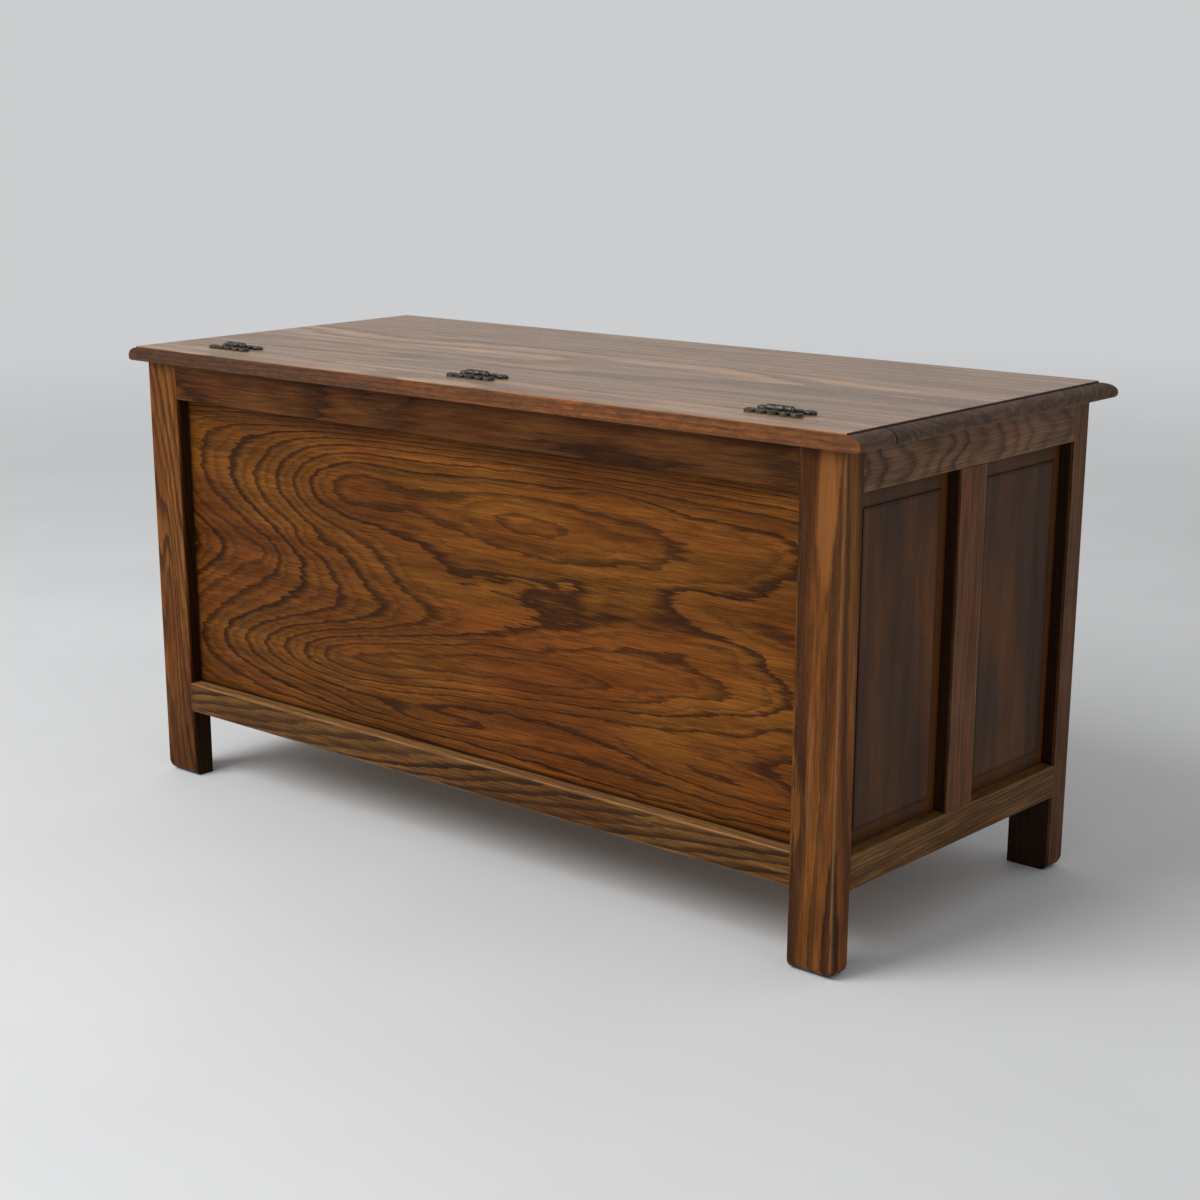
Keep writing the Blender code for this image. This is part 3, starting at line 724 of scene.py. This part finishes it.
        # Painted shade along the sides of a recessed panel.
        if oak.rim:
            rim = self.eased(self.rim_distance(), *oak.rim, 1.0, 0.0)
            self.coat(oak.painted_shade_and_joint_dirt, rim, strength=0.85)
        if oak.bevel:
            self.paint_bevel_highlight_and_step_shade()
        # Painted highlight: one side of a panel's bevel glows orange.
        if board.glow:
            glow = self.eased(self.depth_below(board.glow), *PAINTED_GLOW_DEPTH)
            self.coat(oak.painted_glow, glow, strength=0.85)
        # Painted shade on the sides below the board's outer faces.
        if board.faces:
            recess_shade = self.eased(self.depth_below(*board.faces), *RECESS_SHADE_DEPTH)
            self.coat(oak.painted_shade_and_joint_dirt, recess_shade, strength=0.88)
        self.polish()
        return self.material


@dataclass(frozen=True)
class Brass:
    """Old brass, dark in its hollows and rubbed bright on its edges.

    Attributes:
        name: What the finish is called.
        slot: A slot name, which is not used.
        deep: The colour of the hollows.
        bright: The colour of the rubbed places.
        verdigris: The colour of the tarnish.
        metal: How metallic the tarnished surface is.
        roughness: The roughness of the rubbed metal.
        grit: How much rougher it is where the grit is coarsest.
    """

    name: str = "antique brass"
    slot: str = "antique_brass"
    deep: Rgb = (0.030, 0.026, 0.020)
    bright: Rgb = (0.230, 0.200, 0.150)
    verdigris: Rgb = (0.116, 0.110, 0.086)
    metal: float = 0.85
    roughness: float = 0.28
    grit: float = 0.25

    def material(self, node: str) -> bpy.types.Material:
        """The tarnished metal of one piece.

        Args:
            node: The solid that the piece is or stands for.

        Returns:
            The material.
        """
        bench = PieceBench(self.name, node)
        cloud = bench.noise(TARNISH, bench.place, bench.low)
        grit = bench.noise(GRIT, bench.place, bench.high)
        rubbed = bench.product(bench.edge_nearness(reach=0.0022), bench.eased(grit, *GRIT_WEAR))
        colour = bench.blend(bench.eased(cloud, *TARNISH_LIMITS), self.deep, self.verdigris)
        bench.give("Base Color", bench.blend(rubbed, colour, self.bright))
        bench.give("Metallic", self.metal)
        bench.give("Roughness", bench.sum("MULTIPLY_ADD", grit, self.grit, self.roughness))
        bench.bump(bench.sum("ADD", grit, cloud), depth=0.0003)
        return bench.material

    def dress(self, node: str) -> None:
        """Give a solid this finish."""
        dress(node, self.material(node))


def dress(node: str, material: bpy.types.Material) -> None:
    """Put a material in every slot of a solid.

    Args:
        node: The solid's name.
        material: What it is dressed in.
    """
    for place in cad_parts[node].material_slots:
        place.material = material
    log.info("dressed %s", node)


def select_only(*objects: Piece) -> None:
    """Select some objects and nothing else.

    Args:
        objects: What is selected, the first of them active.
    """
    bpy.ops.object.select_all(action="DESELECT")
    for one in objects:
        one.select_set(True)
    bpy.context.view_layer.objects.active = objects[0]


def merged_copy(node: str, name: str) -> Piece:
    """A copy of a solid with its loose triangles joined.

    Args:
        node: The solid's name.
        name: The copy's name.

    Returns:
        The copy, at the origin with its place in its mesh.
    """
    copy = bpy.data.objects.new(name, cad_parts[node].data.copy())
    bpy.context.scene.collection.objects.link(copy)
    select_only(copy)
    bpy.ops.object.mode_set(mode="EDIT")
    bpy.ops.mesh.select_all(action="SELECT")
    bpy.ops.mesh.remove_doubles(threshold=0.00001)
    bpy.ops.mesh.dissolve_limited(angle_limit=math.radians(0.5))
    bpy.ops.mesh.customdata_custom_splitnormals_clear()
    bpy.ops.object.mode_set(mode="OBJECT")
    return copy


def modify(piece: Piece, kind: str, **settings: object) -> None:
    """Give a piece a modifier and apply it.

    Args:
        piece: What is modified.
        kind: The modifier's type.
        settings: Its settings by name.
    """
    select_only(piece)
    modifier = piece.modifiers.new(kind, kind)
    for name, value in settings.items():
        setattr(modifier, name, value)
    bpy.ops.object.modifier_apply(modifier=modifier.name)


def finish_piece(piece: Piece, body: Body, brass: Brass, node: str) -> None:
    """Hang a modelled piece on its body, in place of a solid.

    Args:
        piece: The modelled piece.
        body: What it rides on.
        brass: Its finish.
        node: The solid that it stands for.
    """
    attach(piece, body.value)
    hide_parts(node)
    piece.data.materials.clear()
    piece.data.materials.append(brass.material(node))
    log.info("built %s", piece.name)


PANEL_HILLS = (
    Hill(-0.26, 0.31, 0.52, 0.19, 5.4), Hill(-0.04, 0.4, 0.33, 0.056, 3.4),
    Hill(0.19, 0.395, 0.11, 0.05, 2.5, -4.0), Hill(-0.03, 0.224, 0.36, 0.033, 4.1, -5.0),
    Hill(0.18, 0.188, 0.15, 0.038, 2.9, -2.0), Hill(0.45, 0.298, 0.19, 0.046, -2.3),
    Hill(0.07, 0.308, 0.16, 0.044, 1.2), Hill(0.0, 0.48, 2.0, 0.022, -4.5),
    Hill(0.0, 0.106, 2.0, 0.024, -1.5), Hill(-0.43, 0.415, 0.12, 0.04, 1.2),
    Hill(-0.14, 0.335, 0.09, 0.014, -0.5, -8.0), Hill(-0.36, 0.335, 0.1, 0.016, -0.7, 8.0),
    Hill(-0.3, 0.29, 0.1, 0.014, 0.6, -6.0), Hill(-0.1, 0.388, 0.05, 0.012, 0.6),
    Hill(-0.22, 0.43, 0.05, 0.009, 0.8, 4.0), Hill(-0.38, 0.165, 0.14, 0.018, 1.6, 4.0),
    Hill(0.05, 0.15, 0.13, 0.012, 1.5, -3.0), Hill(0.33, 0.3, 0.03, 0.016, -0.6),
    Hill(0.24, 0.325, 0.04, 0.012, 0.6), Hill(-0.22, 0.245, 0.16, 0.01, -0.6, 4.0),
    Hill(0.52, 0.3, 0.1, 0.3, -1.8),
)

# The back panel's sides are painted dark as shade along its recess.
BACK_OAK = Oak(
    "back oak", pale=(0.172, 0.06, 0.009), dark=(0.019, 0.007, 0.003), warm=(0.141, 0.04, 0.0065),
    wear_and_highlight=(0.2, 0.095, 0.032), contrast=0.95, edge_wear_and_highlight=0.0, gloss=0.05, streaks=0.3, clouds=0.25,
    patch=0.24, rim=(0.0085, 0.0135),
)
FRAME_OAK = Oak(
    "frame oak", pale=(0.18, 0.065, 0.013), dark=(0.02, 0.008, 0.004), warm=(0.134, 0.041, 0.007),
    wear_and_highlight=(0.28, 0.135, 0.05), edge_wear_and_highlight=0.3, patch=0.12,
)
FAR_POST_OAK = replace(
    FRAME_OAK, name="far post oak", pale=(0.185, 0.068, 0.015), warm=(0.142, 0.044, 0.009),
    wear_and_highlight=(0.23, 0.105, 0.036), contrast=0.8, gloss=0.05,
)
FRONT_POST_OAK = replace(
    FRAME_OAK, name="front post oak", pale=(0.13, 0.056, 0.024), warm=(0.112, 0.04, 0.014),
    wear_and_highlight=(0.23, 0.12, 0.048),
)
# The top of this rail is painted light as a highlight, and its edges are rubbed pale, partly as a painted
# highlight.
RAIL_OAK = replace(
    FRAME_OAK, name="rail oak", pale=(0.138, 0.06, 0.015), dark=(0.016, 0.007, 0.003),
    warm=(0.104, 0.038, 0.008), wear_and_highlight=(0.33, 0.168, 0.062), contrast=1.0, edge_wear_and_highlight=0.8, streaks=0.45,
    ledge_highlight=0.7,
)
# A darker copy of the frame oak; part of its darkness is painted shade under the lid's overhang.
LID_SHADED_RAIL_OAK = replace(
    FRAME_OAK, name="dark rail oak", pale=(0.092, 0.034, 0.009), dark=(0.016, 0.006, 0.003),
    warm=(0.072, 0.022, 0.005), wear_and_highlight=(0.15, 0.065, 0.02), edge_wear_and_highlight=0.0, gloss=0.05,
)
SHADED_OAK = Oak(
    "end frame oak", pale=(0.205, 0.108, 0.062), dark=(0.024, 0.012, 0.008),
    warm=(0.165, 0.078, 0.04), wear_and_highlight=(0.23, 0.13, 0.055), contrast=0.75, patch=0.12,
)
MUNTIN_OAK = replace(
    SHADED_OAK, name="muntin oak", pale=(0.155, 0.062, 0.026), warm=(0.138, 0.046, 0.018),
)
# Its top is painted light as a highlight.
GOLDEN_OAK = replace(
    SHADED_OAK, name="golden end oak", pale=(0.15, 0.072, 0.022), warm=(0.12, 0.05, 0.013),
    wear_and_highlight=(0.22, 0.11, 0.038), edge_wear_and_highlight=0.5, streaks=0.45, ledge_highlight=0.4,
)
# Its bevels are painted lighter as a highlight, and its steps darker as shade.
PANEL_OAK = Oak(
    "end panel oak", pale=(0.06, 0.03, 0.018), dark=(0.032, 0.016, 0.01),
    warm=(0.124, 0.047, 0.017), wear_and_highlight=(0.13, 0.056, 0.02), contrast=0.25, edge_wear_and_highlight=0.0, patch=0.2,
    streaks=0.12, clouds=0.12, bevel=(0.008, 0.012, 0.024, 0.026), step=(0.023, 0.026, 0.026, 0.031),
)
# The top's pale colour is partly a painted sheen; its moulded sides keep the darker wood.
TOP_OAK = Oak(
    "top oak", pale=(0.4, 0.24, 0.14), dark=(0.08, 0.045, 0.028), warm=(0.35, 0.19, 0.1),
    wear_and_highlight=(0.3, 0.15, 0.055), contrast=0.6, roughness=0.36, gloss=0.5, streaks=0.28,
    flank=(0.27, 0.22, 0.19),
)
STRIP_OAK = replace(
    TOP_OAK, name="strip oak", wear_and_highlight=(0.3, 0.125, 0.036), edge_wear_and_highlight=0.35, flank=(0.46, 0.225, 0.015),
    ends=(0.27, 0.22, 0.19),
)
INSIDE_TIMBER = Oak(
    "inside timber", pale=(0.33, 0.22, 0.13), dark=(0.19, 0.115, 0.06),
    warm=(0.29, 0.18, 0.1), wear_and_highlight=(0.36, 0.25, 0.15), contrast=0.5, roughness=0.7, gloss=0.2,
)


@dataclass
class BackFrame:
    """The plain back: two posts, two rails and the large panel with its bold figure."""

    panel: Board = Board(
        Grain.ALONG_X, wander=0.0014, wander_long=0.05, tongues=0.38, hills=PANEL_HILLS, start=4.55,
        profile=TWIN_RING, thin=(-0.05, 0.2, 1.3, 1.0), fade=(-0.05, 0.14, 1.0, 0.89),
    )
    top_rail: Board = Board(
        Grain.ALONG_X, wander=0.012, ring=0.016, wander_long=0.12, tongues=0.7, seed=1.0,
        hills=(
            Hill(0.29, 0.45, 0.13, 0.05, 1.5), Hill(0.1, 0.52, 0.06, 0.03, -1.2),
            Hill(-0.25, 0.47, 0.25, 0.03, 1.6),
        ),
        start=0.3, slope=(1.5, 60.0, 22.0), profile=SOFT_RING, fade=(-0.4, 0.3, 1.02, 1.16),
    )
    bottom_rail: Board = Board(
        Grain.ALONG_X, wander=0.006, ring=0.009, wander_long=0.09, tongues=0.5, seed=2.0,
        slope=(12.0, 120.0, 95.0), hills=(Hill(0.1, 0.095, 0.25, 0.02, 0.8),), profile=BROAD_RING,
    )
    near_post: Board = Board(
        Grain.UPRIGHT, wander=0.004, ring=0.012, wander_long=0.12, seed=3.0, faces=("+Y", "-X"),
        faded="-X",
        hills=(
            Hill(0.52, -0.492, 0.12, 0.02, -0.45), Hill(0.0, -0.51, 0.16, 0.03, 1.1),
            Hill(0.16, -0.47, 0.09, 0.014, -0.5),
        ),
        start=-23.7, slope=(0.0, 45.0, -30.5), profile=BROAD_RING,
        flames=(Hill(0.46, -0.485, 0.085, 0.011, 1.2), Hill(0.2, -0.474, 0.13, 0.007, 0.7)),
    )
    far_post: Board = Board(
        Grain.UPRIGHT, wander=0.004, ring=0.01, wander_long=0.06, tongues=0.4, seed=4.0,
        faces=("+Y", "+X"),
        hills=(
            Hill(0.24, 0.483, 0.13, 0.012, 2.2), Hill(0.42, 0.498, 0.08, 0.008, 0.6),
        ),
        slope=(-13.0, 120.0, 70.0), profile=BROAD_RING, fade=(0.06, 0.17, 0.7, 1.05),
    )

    def dress(self) -> None:
        """Give the back's pieces their oak."""
        BACK_OAK.dress("panel_back", self.panel)
        LID_SHADED_RAIL_OAK.dress("rail_back_top", self.top_rail)
        RAIL_OAK.dress("rail_back_bottom", self.bottom_rail)
        FRAME_OAK.dress("post_back_left", self.near_post)
        FAR_POST_OAK.dress("post_back_right", self.far_post)


@dataclass
class EndFrames:
    """The two ends, each with a muntin between two fielded panels."""

    arches: tuple[Hill, ...] = (
        Hill(0.0, 0.494, 9.0, 0.012, 0.55), Hill(-0.17, 0.48, 0.03, 0.012, 0.5),
        Hill(-0.11, 0.502, 0.04, 0.01, -0.5), Hill(-0.05, 0.478, 0.03, 0.012, 0.5),
        Hill(0.02, 0.48, 0.04, 0.01, -0.4), Hill(0.06, 0.503, 0.03, 0.01, 0.5),
        Hill(0.11, 0.48, 0.03, 0.012, 0.5), Hill(0.16, 0.5, 0.04, 0.012, -0.4),
    )

    def dress(self) -> None:
        """Give the ends' pieces their oak."""
        for seed, side, outer in ((5.0, "left", "-X"), (6.0, "right", "+X")):
            top = Board(
                Grain.ALONG_Y, ring=0.016, wander=0.008, wander_long=0.04, tongues=0.35, seed=seed,
                hills=self.arches, slope=(31.0, 0.0, 2.0), profile=SOFT_RING,
            )
            SHADED_OAK.dress(f"rail_{side}_top", top)
            bottom = Board(
                Grain.ALONG_Y, (0.02, 0.14), (0.5, 2.0), ring=0.0045, wander=0.002, seed=seed + 0.2
            )
            GOLDEN_OAK.dress(f"rail_{side}_bottom", bottom)
            muntin = Board(
                Grain.ALONG_Z, (0.01, 0.15), (0.4, 0.3), wander=0.001, seed=seed + 0.4, faces=(outer,)
            )
            MUNTIN_OAK.dress(f"muntin_{side}", muntin)
            for shift, place in ((0.6, "back"), (0.8, "front")):
                panel = Board(
                    Grain.ALONG_Z, (0.2, 0.03), (0.6, 0.4), ring=0.009, seed=seed + shift, glow="-Y"
                )
                PANEL_OAK.dress(f"panel_{side}_{place}", panel)


@dataclass
class FrontFrame:
    """The show front, with its four fielded panels."""

    panel_count: int = 4

    def dress(self) -> None:
        """Give the front's pieces their oak."""
        FRAME_OAK.dress("rail_front_top", Board(Grain.ALONG_X, (0.05, 0.02), (1.0, 0.8), seed=7.0))
        FRAME_OAK.dress("rail_front_bottom", Board(Grain.ALONG_X, (0.01, 0.09), (0.5, 2.0), seed=7.2))
        left = Board(Grain.ALONG_Z, (0.03, 0.05), (1.5, 1.0), seed=7.4, faces=("-X", "-Y"))
        FRONT_POST_OAK.dress("post_front_left", left)
        right = Board(Grain.ALONG_Z, (0.02, 0.06), (1.0, 2.0), seed=7.6, faces=("+X", "-Y"))
        FRONT_POST_OAK.dress("post_front_right", right)
        for number in range(1, self.panel_count + 1):
            panel = Board(Grain.ALONG_Z, (0.03, 0.2), (0.6, 0.4), seed=8.0 + number / 5)
            PANEL_OAK.dress(f"panel_front_{number}", panel)
        for number in range(1, self.panel_count):
            muntin = Board(Grain.ALONG_Z, (0.09, 0.01), (0.3, 0.3), seed=9.0 + number / 5)
            FRAME_OAK.dress(f"muntin_front_{number}", muntin)


@dataclass
class Floor:
    """The chest's bottom board and the cleats that carry it."""

    def dress(self) -> None:
        """Give the bottom its plain timber."""
        INSIDE_TIMBER.dress("bottom_board", Board(Grain.ALONG_X, (0.02, 0.08), seed=10.0))
        for number, side in enumerate(("front", "back", "left", "right")):
            grain = Grain.ALONG_X if side in {"front", "back"} else Grain.ALONG_Y
            INSIDE_TIMBER.dress(f"cleat_{side}", Board(grain, (0.03, 0.04), seed=10.2 + number / 5))


@dataclass
class Top:
    """The moulded lid and the strip that it is hinged to."""

    lid: Board = Board(
        Grain.ALONG_X, (0.05, 0.3), (1.6, 0.8), ring=0.008, wander=0.012, wander_long=0.3,
        seed=11.0, profile=BROAD_RING, seam="+Y",
        bands=((0.0, 0.8), (0.448, 0.8), (0.452, 1.0), (0.61, 1.0), (0.615, 0.8), (1.0, 0.76)),
    )
    strip: Board = Board(
        Grain.ALONG_X, (0.02, 0.2), (1.0, 0.5), ring=0.006, wander=0.006, tongues=0.5, seed=12.0,
        profile=BROAD_RING, fade=(-0.25, 0.3, 1.0, 0.42), seam="-Y",
    )

    def dress(self) -> None:
        """Give the lid and the strip their oak."""
        TOP_OAK.dress("lid", self.lid)
        STRIP_OAK.dress("hinge_strip", self.strip)


@dataclass
class Hinges:
    """Three butterfly hinges: dished petals on both leaves, a knuckled barrel, pins and screws.

    Attributes:
        brass: The finish of all their pieces.
        count: How many hinges there are.
        petals: How many petals a leaf has.
        leaf_edge: The length of the edge that they stand along.
        petal_wide: The breadth of a petal.
        petal_deep: Its length away from the barrel.
        petal_middle: How far its middle stands from the barrel's axis.
        petal_rings: Its section, as shares of its size and heights above the wood.
        petal_start: Where its faces are numbered from, as extruding leaves them in no fixed order.
        edge_round: How far a leaf's sharp edges are rounded.
        slot_wide: The breadth of a screw's slot.
        slot_deep: Its depth.
        slot_turns: The ways that the slots were left, in degrees.
    """

    brass: Brass = field(default_factory=Brass)
    count: int = 3
    petals: int = 5
    leaf_edge: float = 0.067
    petal_wide: float = 0.0138
    petal_deep: float = 0.0118
    petal_middle: float = 0.0102
    petal_rings: tuple[Span, ...] = (
        *((1.0, 0.0002), (1.0, 0.0020), (0.94, 0.0030), (0.82, 0.0034)),
        *((0.66, 0.0028), (0.48, 0.0024), (0.48, 0.0002)),
    )
    petal_start: Triple = (0.037, 0.021, 0.011)
    edge_round: float = 0.0004
    slot_wide: float = 0.0007
    slot_deep: float = 0.0006
    slot_turns: tuple[float, ...] = (12.0, -35.0, 70.0, 38.0, -62.0, 5.0)

    def build(self) -> None:
        """Model and dress every hinge."""
        petal = self.model_petal()
        for number in range(1, self.count + 1):
            low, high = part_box(f"hinge_{number}_pin")
            axis = (low + high) / 2
            for leaf, body, side in (("strip", Body.CARCASE, 1.0), ("lid", Body.LID, -1.0)):
                self.build_leaf(petal, f"hinge_{number}_{leaf}_leaf", body, axis, side)
                for screw in (1, 2):
                    turn = self.slot_turns[(2 * number + screw) % len(self.slot_turns)]
                    self.build_screw(f"screw_{number}_{leaf}_{screw}", body, turn * side)
            self.brass.dress(f"hinge_{number}_pin")
        bpy.data.objects.remove(petal)

    def model_petal(self) -> Piece:
        """Model one dished petal about the origin.

        Returns:
            The petal, which the leaves copy.
        """
        bpy.ops.object.select_all(action="DESELECT")
        bpy.ops.mesh.primitive_circle_add(vertices=20, radius=0.5, fill_type="NOTHING")
        petal = bpy.context.object
        petal.name = "petal"
        bpy.ops.object.mode_set(mode="EDIT")
        bpy.ops.mesh.select_all(action="SELECT")
        size, height = self.petal_rings[0]
        bpy.ops.transform.resize(value=(self.petal_wide * size, self.petal_deep * size, 1.0))
        bpy.ops.transform.translate(value=(0.0, 0.0, height))
        for next_size, next_height in self.petal_rings[1:]:
            rise = (0.0, 0.0, next_height - height)
            bpy.ops.mesh.extrude_region_move(TRANSFORM_OT_translate={"value": rise})
            share = next_size / size
            bpy.ops.transform.resize(value=(share, share, 1.0))
            size, height = next_size, next_height
        bpy.ops.mesh.select_mode(type="EDGE")
        bpy.ops.mesh.select_all(action="DESELECT")
        bpy.ops.mesh.select_non_manifold(extend=False)
        bpy.ops.mesh.bridge_edge_loops()
        bpy.ops.mesh.select_all(action="SELECT")
        bpy.ops.mesh.normals_make_consistent(inside=False)
        bpy.context.scene.cursor.location = self.petal_start
        bpy.ops.mesh.sort_elements(type="CURSOR_DISTANCE", elements={"VERT", "EDGE", "FACE"})
        bpy.ops.object.mode_set(mode="OBJECT")
        modify(petal, "SUBSURF", levels=2, render_levels=2)
        return petal

    def build_leaf(
        self, petal: Piece, node: str, body: Body, axis: Vector, side: float
    ) -> None:
        """Build one leaf from its plate and its petals.

        Args:
            petal: The modelled petal.
            node: The solid that the leaf stands for.
            body: What the leaf rides on.
            axis: The middle of the barrel.
            side: 1 where the leaf reaches towards the back, and -1 where it reaches forward.
        """
        low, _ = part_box(node)
        plate = merged_copy(node, f"petalled_{node}")
        sharp = math.radians(35.0)
        modify(plate, "BEVEL", width=self.edge_round, segments=2, limit_method="ANGLE", angle_limit=sharp)
        shaped = [plate]
        pitch = self.leaf_edge / self.petals
        turn = Matrix.Rotation(math.pi if side < 0 else 0.0, 4, "Z")
        for place in range(self.petals):
            along = (place + 0.5) * pitch - self.leaf_edge / 2
            copy = bpy.data.objects.new(f"petal_{place}", petal.data.copy())
            bpy.context.scene.collection.objects.link(copy)
            middle = Vector((axis.x + along, axis.y + side * self.petal_middle, low.z))
            copy.data.transform(Matrix.Translation(middle) @ turn)
            shaped.append(copy)
        select_only(*shaped)
        bpy.ops.object.join()
        bpy.ops.object.shade_smooth_by_angle(angle=math.radians(40.0))
        finish_piece(plate, body, self.brass, node)

    def build_screw(self, node: str, body: Body, turn: float) -> None:
        """Build one slotted screw.

        Args:
            node: The solid that it stands for.
            body: What it rides on.
            turn: The turn of its slot, in degrees.
        """
        low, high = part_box(node)
        screw = merged_copy(node, f"slotted_{node}")
        middle = (low + high) / 2
        bpy.ops.object.select_all(action="DESELECT")
        bpy.ops.mesh.primitive_cube_add(size=1.0, location=(middle.x, middle.y, high.z))
        cutter = bpy.context.object
        bpy.ops.object.mode_set(mode="EDIT")
        bpy.ops.mesh.select_all(action="SELECT")
        size = (2 * (high.x - low.x), self.slot_wide, 2 * self.slot_deep)
        bpy.ops.transform.resize(value=size)
        bpy.ops.object.mode_set(mode="OBJECT")
        cutter.rotation_euler.z = math.radians(turn)
        modify(screw, "BOOLEAN", operation="DIFFERENCE", solver="EXACT", object=cutter)
        bpy.data.objects.remove(cutter)
        bpy.ops.object.shade_smooth_by_angle(angle=math.radians(30.0))
        finish_piece(screw, body, self.brass, node)


@dataclass
class Studio:
    """A pale floor, soft light and the camera.

    The camera's yaw is measured clockwise from +Y. Angles are degrees, the lens and the sensor
    millimetres, the lamp's power watts, and the shift is a share of the picture.
    """

    ground: Rgb = (0.76, 0.77, 0.78)
    distance: Rgb = (0.60, 0.61, 0.62)
    ambient: float = 0.45
    floor_half: float = 12.0
    floor_rough: float = 0.75
    fade_start: float = 1.4
    fade_end: float = 5.0
    key_place: Triple = (1.0, 2.7, 2.8)
    key_aim: Triple = (0.0, 0.0, 0.3)
    key_size: float = 2.2
    key_power: float = 105.0
    camera_place: Triple = (-1.610, 1.823, 0.835)
    camera_yaw: float = 136.80
    camera_pitch: float = -15.86
    camera_roll: float = -0.48
    lens: float = 65.27
    sensor: float = 36.0
    shift: Span = (0.065, 0.0793)

    def build(self) -> None:
        """Set up the whole studio."""
        self.lay_floor()
        self.light_room()
        self.hang_key()
        self.set_camera()

    def lay_floor(self) -> None:
        """Lay a wide floor that fades into the background."""
        bpy.ops.object.select_all(action="DESELECT")
        bpy.ops.mesh.primitive_plane_add(size=2 * self.floor_half, location=(0.0, 0.0, 0.0))
        floor = bpy.context.object
        floor.name = "studio_floor"
        bench = ShaderBench("studio floor")
        x, y, _ = bench.parts(bench.place)
        far = bench.vector("LENGTH", bench.joined(x, y, 0.0))
        tone = bench.eased(bench.noise(FLOOR_CLOUDS, bench.place), *FLOOR_TONES)
        bench.give("Base Color", bench.shaded(self.ground, tone))
        bench.give("Roughness", self.floor_rough)
        glow = bench.fed("ShaderNodeEmission", (*self.distance, 1.0))
        faded = bench.eased(far, self.fade_start, self.fade_end)
        mixed = bench.fed("ShaderNodeMixShader", faded, bench.shader.outputs[0], glow.outputs[0])
        bench.feed(bench.nodes["Material Output"].inputs["Surface"], mixed.outputs[0])
        floor.data.materials.append(bench.material)

    def light_room(self) -> None:
        """Light the room evenly, with a plain background behind the chest."""
        world = bpy.data.worlds.new("studio")
        bpy.context.scene.world = world
        world.use_nodes = True
        bench = NodeBench(world.node_tree)
        light = bench.nodes["Background"]
        bench.feed(light.inputs["Color"], (1.0, 1.0, 1.0, 1.0))
        bench.feed(light.inputs["Strength"], self.ambient)
        seen = bench.fed("ShaderNodeBackground", (*self.distance, 1.0))
        path = bench.nodes.new("ShaderNodeLightPath").outputs
        either = bench.sum("MAXIMUM", path["Is Camera Ray"], path["Is Glossy Ray"])
        mixed = bench.fed("ShaderNodeMixShader", either, light.outputs[0], seen.outputs[0])
        bench.feed(bench.nodes["World Output"].inputs["Surface"], mixed.outputs[0])

    def hang_key(self) -> None:
        """Hang one large soft lamp that faces the back of the chest."""
        lamp = bpy.data.lights.new("key", "AREA")
        lamp.shape = "SQUARE"
        lamp.size = self.key_size
        lamp.energy = self.key_power
        held = bpy.data.objects.new("key", lamp)
        held.location = self.key_place
        aim = Vector(self.key_aim) - held.location
        held.rotation_euler = aim.to_track_quat("-Z", "Y").to_euler()
        bpy.context.scene.collection.objects.link(held)

    def set_camera(self) -> None:
        """Stand the camera where the photograph was taken."""
        yaw = math.radians(self.camera_yaw)
        pitch = math.radians(self.camera_pitch)
        roll = math.radians(self.camera_roll)
        level_share = math.cos(pitch)
        ahead = Vector((math.sin(yaw) * level_share, math.cos(yaw) * level_share, math.sin(pitch)))
        level = ahead.cross(Vector((0.0, 0.0, 1.0))).normalized()
        above = level.cross(ahead)
        right = math.cos(roll) * level + math.sin(roll) * above
        up = math.cos(roll) * above - math.sin(roll) * level
        camera = bpy.data.cameras.new("camera")
        camera.sensor_width = self.sensor
        camera.lens = self.lens
        camera.shift_x, camera.shift_y = self.shift
        held = bpy.data.objects.new("camera", camera)
        turn = Matrix((right, up, -ahead)).transposed()
        held.matrix_world = Matrix.Translation(self.camera_place) @ turn.to_4x4()
        bpy.context.scene.collection.objects.link(held)
        bpy.context.scene.camera = held


def main() -> None:
    """Build the studio and dress the chest."""
    logging.basicConfig(level=logging.INFO)
    bpy.context.scene.view_settings.view_transform = "Standard"
    Studio().build()
    BackFrame().dress()
    EndFrames().dress()
    FrontFrame().dress()
    Floor().dress()
    Top().dress()
    Hinges().build()


if __name__ == "__main__":
    main()
